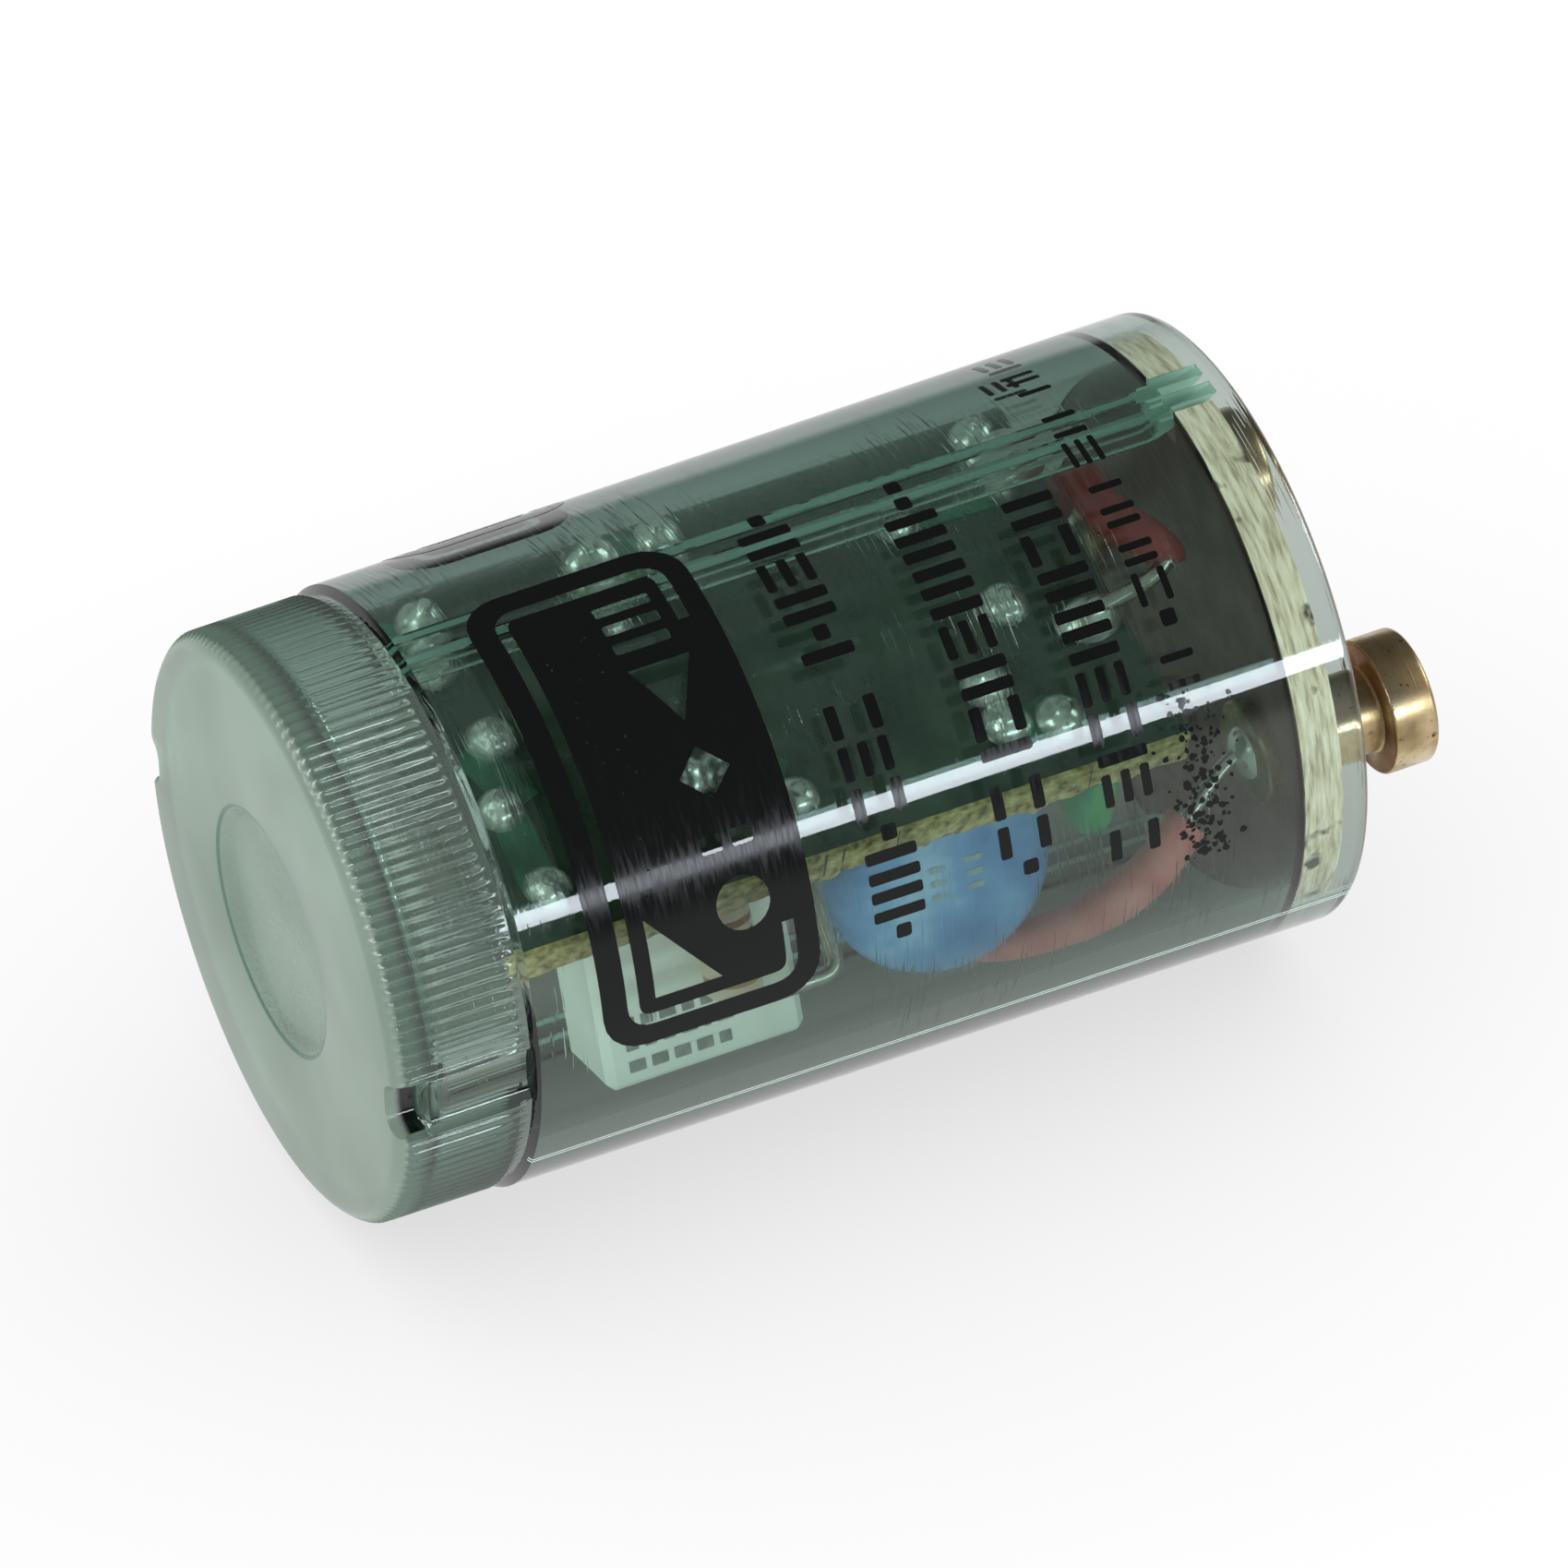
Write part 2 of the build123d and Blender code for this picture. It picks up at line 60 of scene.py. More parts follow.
# Circuit board: solder face out at an angle; places on it are (across, up)
BOARD_ANGLE, BOARD_OFFSET, BOARD_THICKNESS, TRACK = -76.0, 5.65, 1.2, 0.05
BOARD_BOTTOM, BOARD_TOP = 4.6, 29.5
BOARD_HALF = math.sqrt((INNER - 0.12) ** 2 - BOARD_OFFSET**2)
JOINTS = {
    "film_low": (1.95, 6.9),
    "film_high": (2.96, 13.0),
    "disc_low": (4.95, 16.15),
    "disc_high": (4.82, 23.9),
    "green_left": (3.24, 23.9),
    "green_right": (5.2, 25.7),
    "upright_low": (5.2, 7.1),
    "upright_high": (3.1, 14.3),
    "flat_low": (-3.96, 7.2),
    "flat_high": (-3.76, 13.4),
    "diode_a_low": (-6.15, 16.4),
    "diode_a_high": (-3.8, 24.0),
    "diode_b_low": (-5.9, 7.6),
    "diode_b_high": (-6.15, 13.9),
    "zener_foot": (-0.7, 7.8),
    "zener_end": (-4.9, 6.0),
    "thyristor_1": (-6.15, 28.0),
    "thyristor_2": (-5.1, 28.7),
    "thyristor_3": (-4.0, 28.0),
    "wire_a": (0.53, 25.95),
    "wire_b": (2.1, 28.3),
}
LEAD, LEAD_CLEAR, BEND = 0.25, 0.6, 0.7
STRAND, SLEEVE = 0.28, 0.7
# Parts off the board: how they are turned, the disc's centre, and how far out or up others stand
FILM_ANGLE, DISC_ANGLE, DISC_CENTRE, DISC_RADIUS = -19.0, -16.0, (3.03, 21.9, 4.1), 4.05
RESISTOR_OUT, GREEN_UP = 6.95, 27.175
# Stamped marks lie just off the faces of the film and disc capacitors
FILM_FACE, DISC_FACE = 5.912, 1.515

# Solder drop as shares of its radius and height, and the drops that ran out along their tracks
DROP = ((1.0, 0.0), (0.98, 0.12), (0.9, 0.38), (0.74, 0.64), (0.52, 0.84), (0.34, 0.96))
RUN_OUT = {"thyristor_2": 1.5, "wire_b": 1.3, "diode_b_high": 1.25}
# Zener diode's lead as (joint, depth), then the diodes and the resistor that lie along the board
ZENER_ROUTE = (("zener_foot", 0), ("zener_foot", 5.9), ("zener_end", 5.9), ("zener_end", 0))
FLAT_PARTS = (
    ("diode_a_low", "diode_a_high", 2.6, "diode_a_leads"),
    ("diode_b_low", "diode_b_high", 2.3, "diode_b_leads"),
    ("flat_low", "flat_high", 2.3, "flat_resistor_leads"),
)

# Print: radius its lengths are laid on, width of the strips round the wall, and lift off it
PRINT_R, STRIP, PRINT_LIFT = 10.5, 0.25, 0.012

# Rows of print: start and end in degrees, height up the wall, size and stroke in millimetres
PRINT_ROWS = (
    (-93, -1, 17.1, 1.85, 0.42),
    (-100, -1, 21.8, 1.85, 0.42),
    (-77, 0, 25.7, 1.8, 0.4),
    (-123, -32, 28.7, 1.2, 0.26),
)

# Light levels: dim room and white table in reflections, what shows through, and the fill on matt surfaces
ROOM_LEVEL, TABLE_LEVEL, THROUGH_LEVEL, FILL_LEVEL = 0.08, 0.8, 0.8, 1.0


def hexrgb(code):
    """sRGB hex to linear RGBA."""
    out = []
    for i in (0, 2, 4):
        c = int(code[i:i + 2], 16) / 255
        out.append(c / 12.92 if c <= 0.04045 else ((c + 0.055) / 1.055) ** 2.4)
    return (*out, 1.0)


def plug(tree, node, inputs):
    """Sets a node's inputs, by name or number: links sockets, reads hex codes as colours."""
    for key, value in inputs.items():
        if isinstance(value, bpy.types.NodeSocket):
            tree.links.new(value, node.inputs[key])
        else:
            node.inputs[key].default_value = hexrgb(value) if isinstance(value, str) else value


def add(tree, kind, inputs=None, stops=(), **settings):
    """New node with its inputs, colour stops and settings; gives its output sockets."""
    node = tree.nodes.new(kind)
    for key, value in settings.items():
        setattr(node, key, value)
    if stops:
        elements = node.color_ramp.elements
        for position, _ in stops[1:-1]:
            elements.new(position)
        for element, (position, code) in zip(elements, stops):
            element.position = position
            element.color = hexrgb(code)
    plug(tree, node, inputs or {})
    return node.outputs


def material(name, **inputs):
    """Principled material, its tree, shader and coordinates; inputs are named with underscores."""
    mat = bpy.data.materials.new(name)
    mat.use_nodes = True
    tree = mat.node_tree
    shader = tree.nodes["Principled BSDF"]
    plug(tree, shader, {key.replace("_", " "): value for key, value in inputs.items()})
    return mat, tree, shader, add(tree, "ShaderNodeTexCoord")["Object"]


def uneven(name, shades, grain, detail, **inputs):
    """Material whose colour drifts through shades, in patches of a size in millimetres."""
    mat, tree, shader, place = material(name, **inputs)
    patches = {"Vector": place, "Scale": 1 / (grain * MM), "Detail": detail}
    drift = add(tree, "ShaderNodeTexNoise", patches)[0]
    color = add(tree, "ShaderNodeValToRGB", {"Fac": drift}, shades)[0]
    plug(tree, shader, {"Base Color": color})
    return mat, tree, shader, place


def rippled(tree, shader, place, grain, detail, strength, depth):
    """Waves in a material's surface, of a size and depth in millimetres; gives their normal."""
    waves = {"Vector": place, "Scale": 1 / (grain * MM), "Detail": detail}
    waves = add(tree, "ShaderNodeTexNoise", waves)[0]
    bump = {"Height": waves, "Strength": strength, "Distance": depth * MM}
    normal = add(tree, "ShaderNodeBump", bump)[0]
    plug(tree, shader, {"Normal": normal})
    return normal


def from_axis(tree, place):
    """Distance from the canister's axis, and height."""
    x, y, z = add(tree, "ShaderNodeSeparateXYZ", {"Vector": place})
    flat = add(tree, "ShaderNodeCombineXYZ", {"X": x, "Y": y})[0]
    return add(tree, "ShaderNodeVectorMath", {0: flat}, operation="LENGTH")["Value"], z


def placed(name, data):
    """New object in the scene."""
    obj = bpy.data.objects.new(name, data)
    scene.collection.objects.link(obj)
    return obj


def mesh_object(name, verts, faces, mat, slot=None, sharp=30, replaced=()):
    """Piece on the root body from points in millimetres."""
    mesh = bpy.data.meshes.new(name)
    mesh.from_pydata([tuple(c * MM for c in v) for v in verts], [], faces)
    mesh.validate()
    mesh.shade_smooth()
    mesh.set_sharp_from_angle(angle=math.radians(sharp))
    obj = placed(name, mesh)
    obj.data.materials.append(mat)
    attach(obj, "root")
    if replaced:
        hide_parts(*replaced)


def joined(parts):
    """One list of points and faces from several."""
    verts, faces = [], []
    for some_verts, some_faces in parts:
        base = len(verts)
        verts += some_verts
        faces += [tuple(base + i for i in face) for face in some_faces]
    return verts, faces


def ringed(rings, steps, closed=True):
    """Faces between rings of points, and over the first and the last if closed."""
    faces = []
    for i in range(rings - 1):
        for k in range(steps):
            a, b = i * steps + k, i * steps + (k + 1) % steps
            faces.append((a, b, b + steps, a + steps))
    if closed:
        faces.append(tuple(reversed(range(steps))))
        faces.append(tuple(range((rings - 1) * steps, rings * steps)))
    return faces


def lathe(profile, steps, place=None):
    """Turned body from (radius, height) pairs that run up its outside, with both ends closed."""
    verts = []
    for r, z in profile:
        for k in range(steps):
            a = 2 * math.pi * k / steps
            verts.append(Vector((r * math.cos(a), r * math.sin(a), z)))
    if place:
        verts = [place @ v for v in verts]
    return verts, ringed(len(profile), steps)


def arc_points(cx, cz, radius, start, end, steps):
    """Points of an arc in a turned outline or a flat shape, angles in degrees from outward."""
    turns = [math.radians(start + (end - start) * i / steps) for i in range(steps + 1)]
    return [(cx + radius * math.cos(t), cz + radius * math.sin(t)) for t in turns]


def tube(points, radius, sides):
    """Round wire along a path, with closed ends."""
    points = [Vector(p) for p in points]
    verts = []
    side = None
    for i, point in enumerate(points):
        ahead = (points[min(i + 1, len(points) - 1)] - points[max(i - 1, 0)]).normalized()
        if side is None:
            side = ahead.orthogonal().normalized()
        side = (side - ahead * side.dot(ahead)).normalized()
        other = ahead.cross(side)
        for k in range(sides):
            a = 2 * math.pi * k / sides
            verts.append(point + (side * math.cos(a) + other * math.sin(a)) * radius)
    return verts, ringed(len(points), sides)


def bent(points, steps=6):
    """Path with its corners rounded as a bent lead is."""
    points = [Vector(p) for p in points]
    path = [points[0]]
    for before, corner, after in zip(points, points[1:], points[2:]):
        back, on = before - corner, after - corner
        reach = min(BEND, 0.45 * back.length, 0.45 * on.length)
        start, end = corner + back.normalized() * reach, corner + on.normalized() * reach
        for i in range(steps + 1):
            t = i / steps
            path.append(start * (1 - t) ** 2 + corner * 2 * t * (1 - t) + end * t**2)
    return path + [points[-1]]


def smooth(points, steps):
    """Curve through points; the first and last only steer it."""
    points = [Vector(p) for p in points]
    path = []
    for p0, p1, p2, p3 in zip(points, points[1:], points[2:], points[3:]):
        for i in range(steps):
            t = i / steps
            path.append(
                0.5 * (2 * p1 + (p2 - p0) * t + (2 * p0 - 5 * p1 + 4 * p2 - p3) * t**2
                       + (3 * p1 - p0 - 3 * p2 + p3) * t**3)
            )
    return path + [points[-2]]


def rotation(x_axis, y_axis, z_axis, origin):
    """Placement whose columns are the axes."""
    place = Matrix((x_axis, y_axis, z_axis)).transposed().to_4x4()
    place.translation = Vector(origin)
    return place


def upright_plane(angle):
    """Axes of a plane that faces out at an angle: across, up, out."""
    a = math.radians(angle)
    return Vector((-math.sin(a), math.cos(a), 0)), Vector((0, 0, 1)), Vector((math.cos(a), math.sin(a), 0))


BOARD_AXES = upright_plane(BOARD_ANGLE)
GUIDE_ACROSS = upright_plane(GUIDE_ANGLE)[0]
SEAM_ACROSS = upright_plane(SEAM_ANGLE)[0]
FILM_AXES = upright_plane(FILM_ANGLE)
DISC_AXES = upright_plane(DISC_ANGLE)


def at_board(place, depth):
    """Point of a place on the board, at a depth behind the solder face."""
    across, up, out = BOARD_AXES
    return across * place[0] + up * place[1] + out * (BOARD_OFFSET - depth)


def outer(z):
    """Outside radius of the canister."""
    return MOUTH - (LENGTH - z) * DRAFT


# Flat shapes of the print, in millimetres; loops inside loops are cut out
def rect(x0, x1, y0, y1, r):
    """Rectangle loop, its corners rounded."""
    corners = ((x1 - r, y0 + r, -90), (x1 - r, y1 - r, 0), (x0 + r, y1 - r, 90), (x0 + r, y0 + r, 180))
    return [point for cx, cy, start in corners for point in arc_points(cx, cy, r, start, start + 90, 5)]


def blot(x, y, radius, rng):
    """Ragged speck loop of eight points."""
    loop = []
    for i in range(8):
        a = 2 * math.pi * i / 8
        r = radius * rng.uniform(0.6, 1.3)
        loop.append((x + r * math.cos(a), y + r * math.sin(a)))
    return loop


def stroke(path, width):
    """Loop round a bent line of one width."""
    points = bent([(x, y, 0) for x, y in path], 5)
    left, right = [], []
    for i, point in enumerate(points):
        ahead = (points[min(i + 1, len(points) - 1)] - points[max(i - 1, 0)]).normalized()
        aside = Vector((-ahead.y, ahead.x, 0)) * width / 2
        left.append((point + aside)[:2])
        right.append((point - aside)[:2])
    return left + right[::-1]


def inside(x, y, loops):
    """Even-odd test of a point against closed loops."""
    hit = False
    for loop in loops:
        for (x0, y0), (x1, y1) in zip(loop, loop[1:] + loop[:1]):
            if (y0 > y) != (y1 > y) and x < x0 + (y - y0) * (x1 - x0) / (y1 - y0):
                hit = not hit
    return hit


def filled(loops, surface):
    """Even-odd loops as triangles, cut into strips and laid on a surface."""
    verts, edges = [], []
    for loop in loops:
        base = len(verts)
        verts += [Vector(p) for p in loop]
        edges += [(base + i, base + (i + 1) % len(loop)) for i in range(len(loop))]
    xs, ys = [v.x for v in verts], [v.y for v in verts]
    for i in range(1, int((max(xs) - min(xs)) / STRIP) + 1):
        x = min(xs) + i * STRIP
        edges.append((len(verts), len(verts) + 1))
        verts += [Vector((x, min(ys) - 0.1)), Vector((x, max(ys) + 0.1))]
    points, _, triangles, *_ = delaunay_2d_cdt(verts, edges, [], 0, 1e-4)
    kept = []
    for triangle in triangles:
        x, y = (sum(points[i][axis] for i in triangle) / 3 for axis in (0, 1))
        if inside(x, y, loops):
            kept.append(tuple(triangle))
    return [surface(p.x, p.y) for p in points], kept


def on_wall(x, y):
    """Point of the print on the wall: x is the arc length, y the height."""
    a, r = x / PRINT_R, outer(y) + PRINT_LIFT
    return Vector((r * math.cos(a), r * math.sin(a), y))


def clear_green_polycarbonate():
    """Moulded polycarbonate, tinted in the mass: glossy and finely scratched, satin on its closed face;
    painted light greens its lower corner and tints its rib crests and seam pale, and painted shade darkens
    the dimple's rim.
    """
    mat, tree, shader, place = material("clear_green_polycarbonate", IOR=1.58)
    radius, z = from_axis(tree, place)
    ends = {"From Min": 0.25 * MM, "From Max": 0.6 * MM, "To Min": 1.0, "To Max": 0.0}
    face = add(tree, "ShaderNodeMapRange", {"Value": z, **ends}, interpolation_type="SMOOTHSTEP")[0]
    low = add(tree, "ShaderNodeMath", {0: z, 1: MM}, operation="LESS_THAN")[0]
    ends = {"From Min": 4.2 * MM, "From Max": 4.5 * MM, "To Min": 1.0, "To Max": 0.0}
    centre = add(tree, "ShaderNodeMapRange", {"Value": radius, **ends})[0]
    dimple = add(tree, "ShaderNodeMath", {0: low, 1: centre}, operation="MULTIPLY")[0]
    satin = add(tree, "ShaderNodeMath", {0: face, 1: dimple}, operation="MAXIMUM")[0]
    # Painted shade: a dark green line round the dimple's rim
    edge = {0: radius, 1: (DIMPLE - 0.06) * MM, 2: 0.07 * MM}
    edge = add(tree, "ShaderNodeMath", edge, operation="COMPARE")[0]
    edge = add(tree, "ShaderNodeMath", {0: edge, 1: low}, operation="MULTIPLY")[0]
    # The guide ribs' crests are cloudy in stripes 0.26 mm wide, and so are their whole ends; their pale mint
    # tint is painted light, standing in for the bright lines the clear ribs carry
    across = add(tree, "ShaderNodeVectorMath", {0: place, 1: GUIDE_ACROSS}, operation="DOT_PRODUCT")["Value"]
    across = add(tree, "ShaderNodeMath", {0: across}, operation="ABSOLUTE")[0]
    ends = {"From Min": (GUIDE_RUN_OUT - 0.2) * MM, "From Max": GUIDE_RUN_OUT * MM}
    half = {"Value": z, **ends, "To Min": 0.13 * MM, "To Max": 0.4 * MM}
    half = add(tree, "ShaderNodeMapRange", half)[0]
    crest = {0: across, 1: GUIDE_SPACING / 2 * MM, 2: half}
    crest = add(tree, "ShaderNodeMath", crest, operation="COMPARE")[0]
    within = {0: radius, 1: (SEAT_R - 0.05) * MM}
    within = add(tree, "ShaderNodeMath", within, operation="LESS_THAN")[0]
    above = add(tree, "ShaderNodeMath", {0: z, 1: (BAND + 0.1) * MM}, operation="GREATER_THAN")[0]
    for mask in (within, above):
        crest = add(tree, "ShaderNodeMath", {0: crest, 1: mask}, operation="MULTIPLY")[0]
    # Wear lies in drifts about 7 mm across
    drift = add(tree, "ShaderNodeTexNoise", {"Vector": place, "Scale": 1 / (7 * MM), "Detail": 2.0})[0]
    drift = add(tree, "ShaderNodeMapRange", {"Value": drift, "From Min": 0.42, "From Max": 0.62})[0]
    # The mould's halves leave a double seam up the outside, its lines 0.06 mm wide; they take the crests'
    # pale mint tint, a painted highlight
    beside = add(tree, "ShaderNodeVectorMath", {0: place, 1: SEAM_ACROSS}, operation="DOT_PRODUCT")["Value"]
    beside = add(tree, "ShaderNodeMath", {0: beside}, operation="ABSOLUTE")[0]
    seam = add(tree, "ShaderNodeMath", {0: beside, 1: 0.09 * MM, 2: 0.03 * MM}, operation="COMPARE")[0]
    outside = {0: radius, 1: (SEAT_R - 0.1) * MM}
    outside = add(tree, "ShaderNodeMath", outside, operation="GREATER_THAN")[0]
    for mask in (outside, above):
        seam = add(tree, "ShaderNodeMath", {0: seam, 1: mask}, operation="MULTIPLY")[0]
    crest = add(tree, "ShaderNodeMath", {0: crest, 1: seam}, operation="MAXIMUM")[0]
    # The grip band is worn a little dull, on its outside
    band = add(tree, "ShaderNodeMath", {0: z, 1: BAND * MM}, operation="LESS_THAN")[0]
    band = add(tree, "ShaderNodeMath", {0: band, 1: outside}, operation="MULTIPLY")[0]
    # Its lower corner is duller still, and painted greener: painted light, standing in for light seen
    # through the shoulder
    ends = {"From Min": 0.7 * MM, "From Max": 1.4 * MM, "To Min": 1.0, "To Max": 0.0}
    corner = add(tree, "ShaderNodeMapRange", {"Value": z, **ends}, interpolation_type="SMOOTHSTEP")[0]
    corner = add(tree, "ShaderNodeMath", {0: corner, 1: outside}, operation="MULTIPLY")[0]
    worn = add(tree, "ShaderNodeMath", {0: corner, 1: 0.3, 2: 0.2}, operation="MULTIPLY_ADD")[0]
    worn = add(tree, "ShaderNodeMath", {0: band, 1: worn}, operation="MULTIPLY")[0]
    frost = add(tree, "ShaderNodeMix", {0: drift, 6: "b3ccb8", 7: "a1b9a6"}, data_type="RGBA")[2]
    # Tints: the corner's green is painted light, the dimple rim's dark green is painted shade, and the pale
    # mint of the crests and seam is painted light
    tints = ((band, "cfdcd2"), (corner, "b4d6c0"), (satin, frost), (edge, "6d9c86"), (crest, "d2f5e4"))
    tint = "f0f3ef"
    for mask, shade in tints:
        tint = add(tree, "ShaderNodeMix", {0: mask, 6: tint, 7: shade}, data_type="RGBA")[2]
    cloud = satin
    for mask in (worn, crest):
        cloud = add(tree, "ShaderNodeMath", {0: cloud, 1: mask}, operation="MAXIMUM")[0]
    rough = add(tree, "ShaderNodeMath", {0: cloud, 1: 0.26, 2: 0.03}, operation="MULTIPLY_ADD")[0]
    through = add(tree, "ShaderNodeMath", {0: cloud, 1: -0.28, 2: 1.0}, operation="MULTIPLY_ADD")[0]
    through = add(tree, "ShaderNodeMath", {0: crest, 1: -0.4, 2: through}, operation="MULTIPLY_ADD")[0]
    # Scratches from being turned in its holder: 3 mm long round the wall, 0.1 mm apart, in worn drifts
    turn = add(tree, "ShaderNodeTexGradient", {"Vector": place}, gradient_type="RADIAL")["Fac"]
    round_wall = add(tree, "ShaderNodeCombineXYZ", {"X": turn, "Y": z})[0]
    spread = add(tree, "ShaderNodeVectorMath", {0: round_wall, 1: (22, 9000, 1)}, operation="MULTIPLY")[0]
    lines = add(tree, "ShaderNodeTexNoise", {"Vector": spread, "Scale": 1.0, "Detail": 1.0})[0]
    lines = add(tree, "ShaderNodeMapRange", {"Value": lines, "From Min": 0.6, "From Max": 0.78})[0]
    scratches = add(tree, "ShaderNodeMath", {0: lines, 1: drift}, operation="MULTIPLY")[0]
    # Spark texture of the dimple, its grain 0.16 mm
    grain = add(tree, "ShaderNodeTexNoise", {"Vector": place, "Scale": 1 / (0.16 * MM), "Detail": 1.0})[0]
    grain = add(tree, "ShaderNodeMath", {0: grain, 1: dimple}, operation="MULTIPLY")[0]
    height = add(tree, "ShaderNodeMath", {0: grain, 1: 6.0, 2: scratches}, operation="MULTIPLY_ADD")[0]
    normal = add(tree, "ShaderNodeBump", {"Height": height, "Strength": 0.45, "Distance": 0.02 * MM})[0]
    plug(tree, shader, {"Base Color": tint, "Roughness": rough, "Normal": normal})
    plug(tree, shader, {"Transmission Weight": through})
    # Lamps reach the inside straight through the wall, as shadow and diffuse rays
    path = add(tree, "ShaderNodeLightPath")
    rays = {0: path["Is Shadow Ray"], 1: path["Is Diffuse Ray"]}
    straight = add(tree, "ShaderNodeMath", rays, operation="MAXIMUM")[0]
    clear = add(tree, "ShaderNodeBsdfTransparent")[0]
    surface = add(tree, "ShaderNodeMixShader", {0: straight, 1: shader.outputs[0], 2: clear})[0]
    # Tint by depth: 1 mm lets through 62 % of red, 70 % of green and 68 % of blue
    soak = add(tree, "ShaderNodeVolumeAbsorption", {"Density": 490.0, "Color": "278e7c"})[0]
    plug(tree, tree.nodes["Material Output"], {"Surface": surface, "Volume": soak})
    return mat


def printing_ink():
    """Pad-printed black ink: thin, flat, with a low gloss that is rubbed along the wall."""
    black = {"Base_Color": "0b0c0c", "Specular_IOR_Level": 0.22}
    mat, tree, shader, place = material("black_pad_printing_ink", **black)
    spread = add(tree, "ShaderNodeVectorMath", {0: place, 1: (900, 900, 9000)}, operation="MULTIPLY")[0]
    rubbed = add(tree, "ShaderNodeTexNoise", {"Vector": spread, "Scale": 1.0, "Detail": 3.0})[0]
    ends = {"From Min": 0.4, "From Max": 0.7, "To Min": 0.1, "To Max": 0.24}
    rough = add(tree, "ShaderNodeMapRange", {"Value": rubbed, **ends})[0]
    plug(tree, shader, {"Roughness": rough})
    return mat


def green_solder_mask():
    """Glass laminate under green lacquer: glossy, in waves, its shade drifts with what lies under it."""
    shades = [(0.3, "1a2f22"), (0.52, "273f2f"), (0.75, "3a503d")]
    gloss = {"Roughness": 0.16, "Coat_Weight": 0.7, "Coat_Roughness": 0.05}
    mat, tree, shader, place = uneven("green_solder_mask", shades, 2.6, 4.0, **gloss)
    plug(tree, shader, {"Coat Normal": rippled(tree, shader, place, 0.6, 3.0, 0.5, 0.06)})
    return mat


def lacquered_copper():
    """Etched copper under the green lacquer: a brighter green than the laminate, with a metal's sheen."""
    shades = [(0.3, "245a43"), (0.7, "438a6a")]
    gloss = {"Roughness": 0.22, "Metallic": 0.35, "Coat_Weight": 0.7}
    mat, tree, shader, place = uneven("lacquered_copper_track", shades, 1.8, 4.0, **gloss)
    plug(tree, shader, {"Coat Normal": rippled(tree, shader, place, 0.5, 3.0, 0.4, 0.05)})
    return mat


def tin_lead_solder():
    """Solder set from the melt: bright, with a soft sheen and slight ripples."""
    shades = [(0.3, "dcded8"), (0.7, "fafbf6")]
    mat, tree, shader, place = uneven("tin_lead_solder", shades, 0.6, 4.0, Metallic=0.9, Roughness=0.23)
    rippled(tree, shader, place, 0.35, 2.0, 0.12, 0.05)
    return mat


def tinned_copper():
    """Drawn copper wire, dipped in tin: bright, with a faint warm cast."""
    shades = [(0.3, "b4b1a6"), (0.7, "dddbd2")]
    return uneven("tinned_copper_wire", shades, 0.6, 3.0, Metallic=1.0, Roughness=0.25)[0]


def phenolic_paper():
    """Punched phenolic paper: dark brown pressed faces, and a pale fibrous cut edge with burnt stains."""
    mat, tree, shader, place = material("phenolic_paper_board")
    radius = from_axis(tree, place)[0]
    rim = {"Value": radius, "From Min": (BASE_R - 0.02) * MM, "From Max": (BASE_R + 0.02) * MM}
    rim = add(tree, "ShaderNodeMapRange", rim)[0]
    # Fibres lie along the sheet: 1 mm long on the cut, 0.15 mm thick
    spread = add(tree, "ShaderNodeVectorMath", {0: place, 1: (900, 900, 6500)}, operation="MULTIPLY")[0]
    fibres = add(tree, "ShaderNodeTexNoise", {"Vector": spread, "Scale": 1.0, "Detail": 5.0})[0]
    pale = [(0.3, "a8967a"), (0.5, "e2d0b4"), (0.7, "fbeedb")]
    edge = add(tree, "ShaderNodeValToRGB", {"Fac": fibres}, pale)[0]
    burnt = add(tree, "ShaderNodeTexNoise", {"Vector": place, "Scale": 1 / (1.3 * MM), "Detail": 3.0})[0]
    burnt = add(tree, "ShaderNodeMapRange", {"Value": burnt, "From Min": 0.6, "From Max": 0.68})[0]
    edge = add(tree, "ShaderNodeMix", {0: burnt, 6: edge, 7: "3a2d20"}, data_type="RGBA")[2]
    cloud = add(tree, "ShaderNodeTexNoise", {"Vector": place, "Scale": 1 / (1.5 * MM), "Detail": 4.0})[0]
    face = add(tree, "ShaderNodeValToRGB", {"Fac": cloud}, [(0.35, "604640"), (0.7, "80625a")])[0]
    color = add(tree, "ShaderNodeMix", {0: rim, 6: face, 7: edge}, data_type="RGBA")[2]
    rough = add(tree, "ShaderNodeMapRange", {"Value": rim, "To Min": 0.35, "To Max": 0.85})[0]
    normal = add(tree, "ShaderNodeBump", {"Height": fibres, "Strength": 0.6, "Distance": 0.05 * MM})[0]
    plug(tree, shader, {"Base Color": color, "Roughness": rough, "Normal": normal})
    return mat


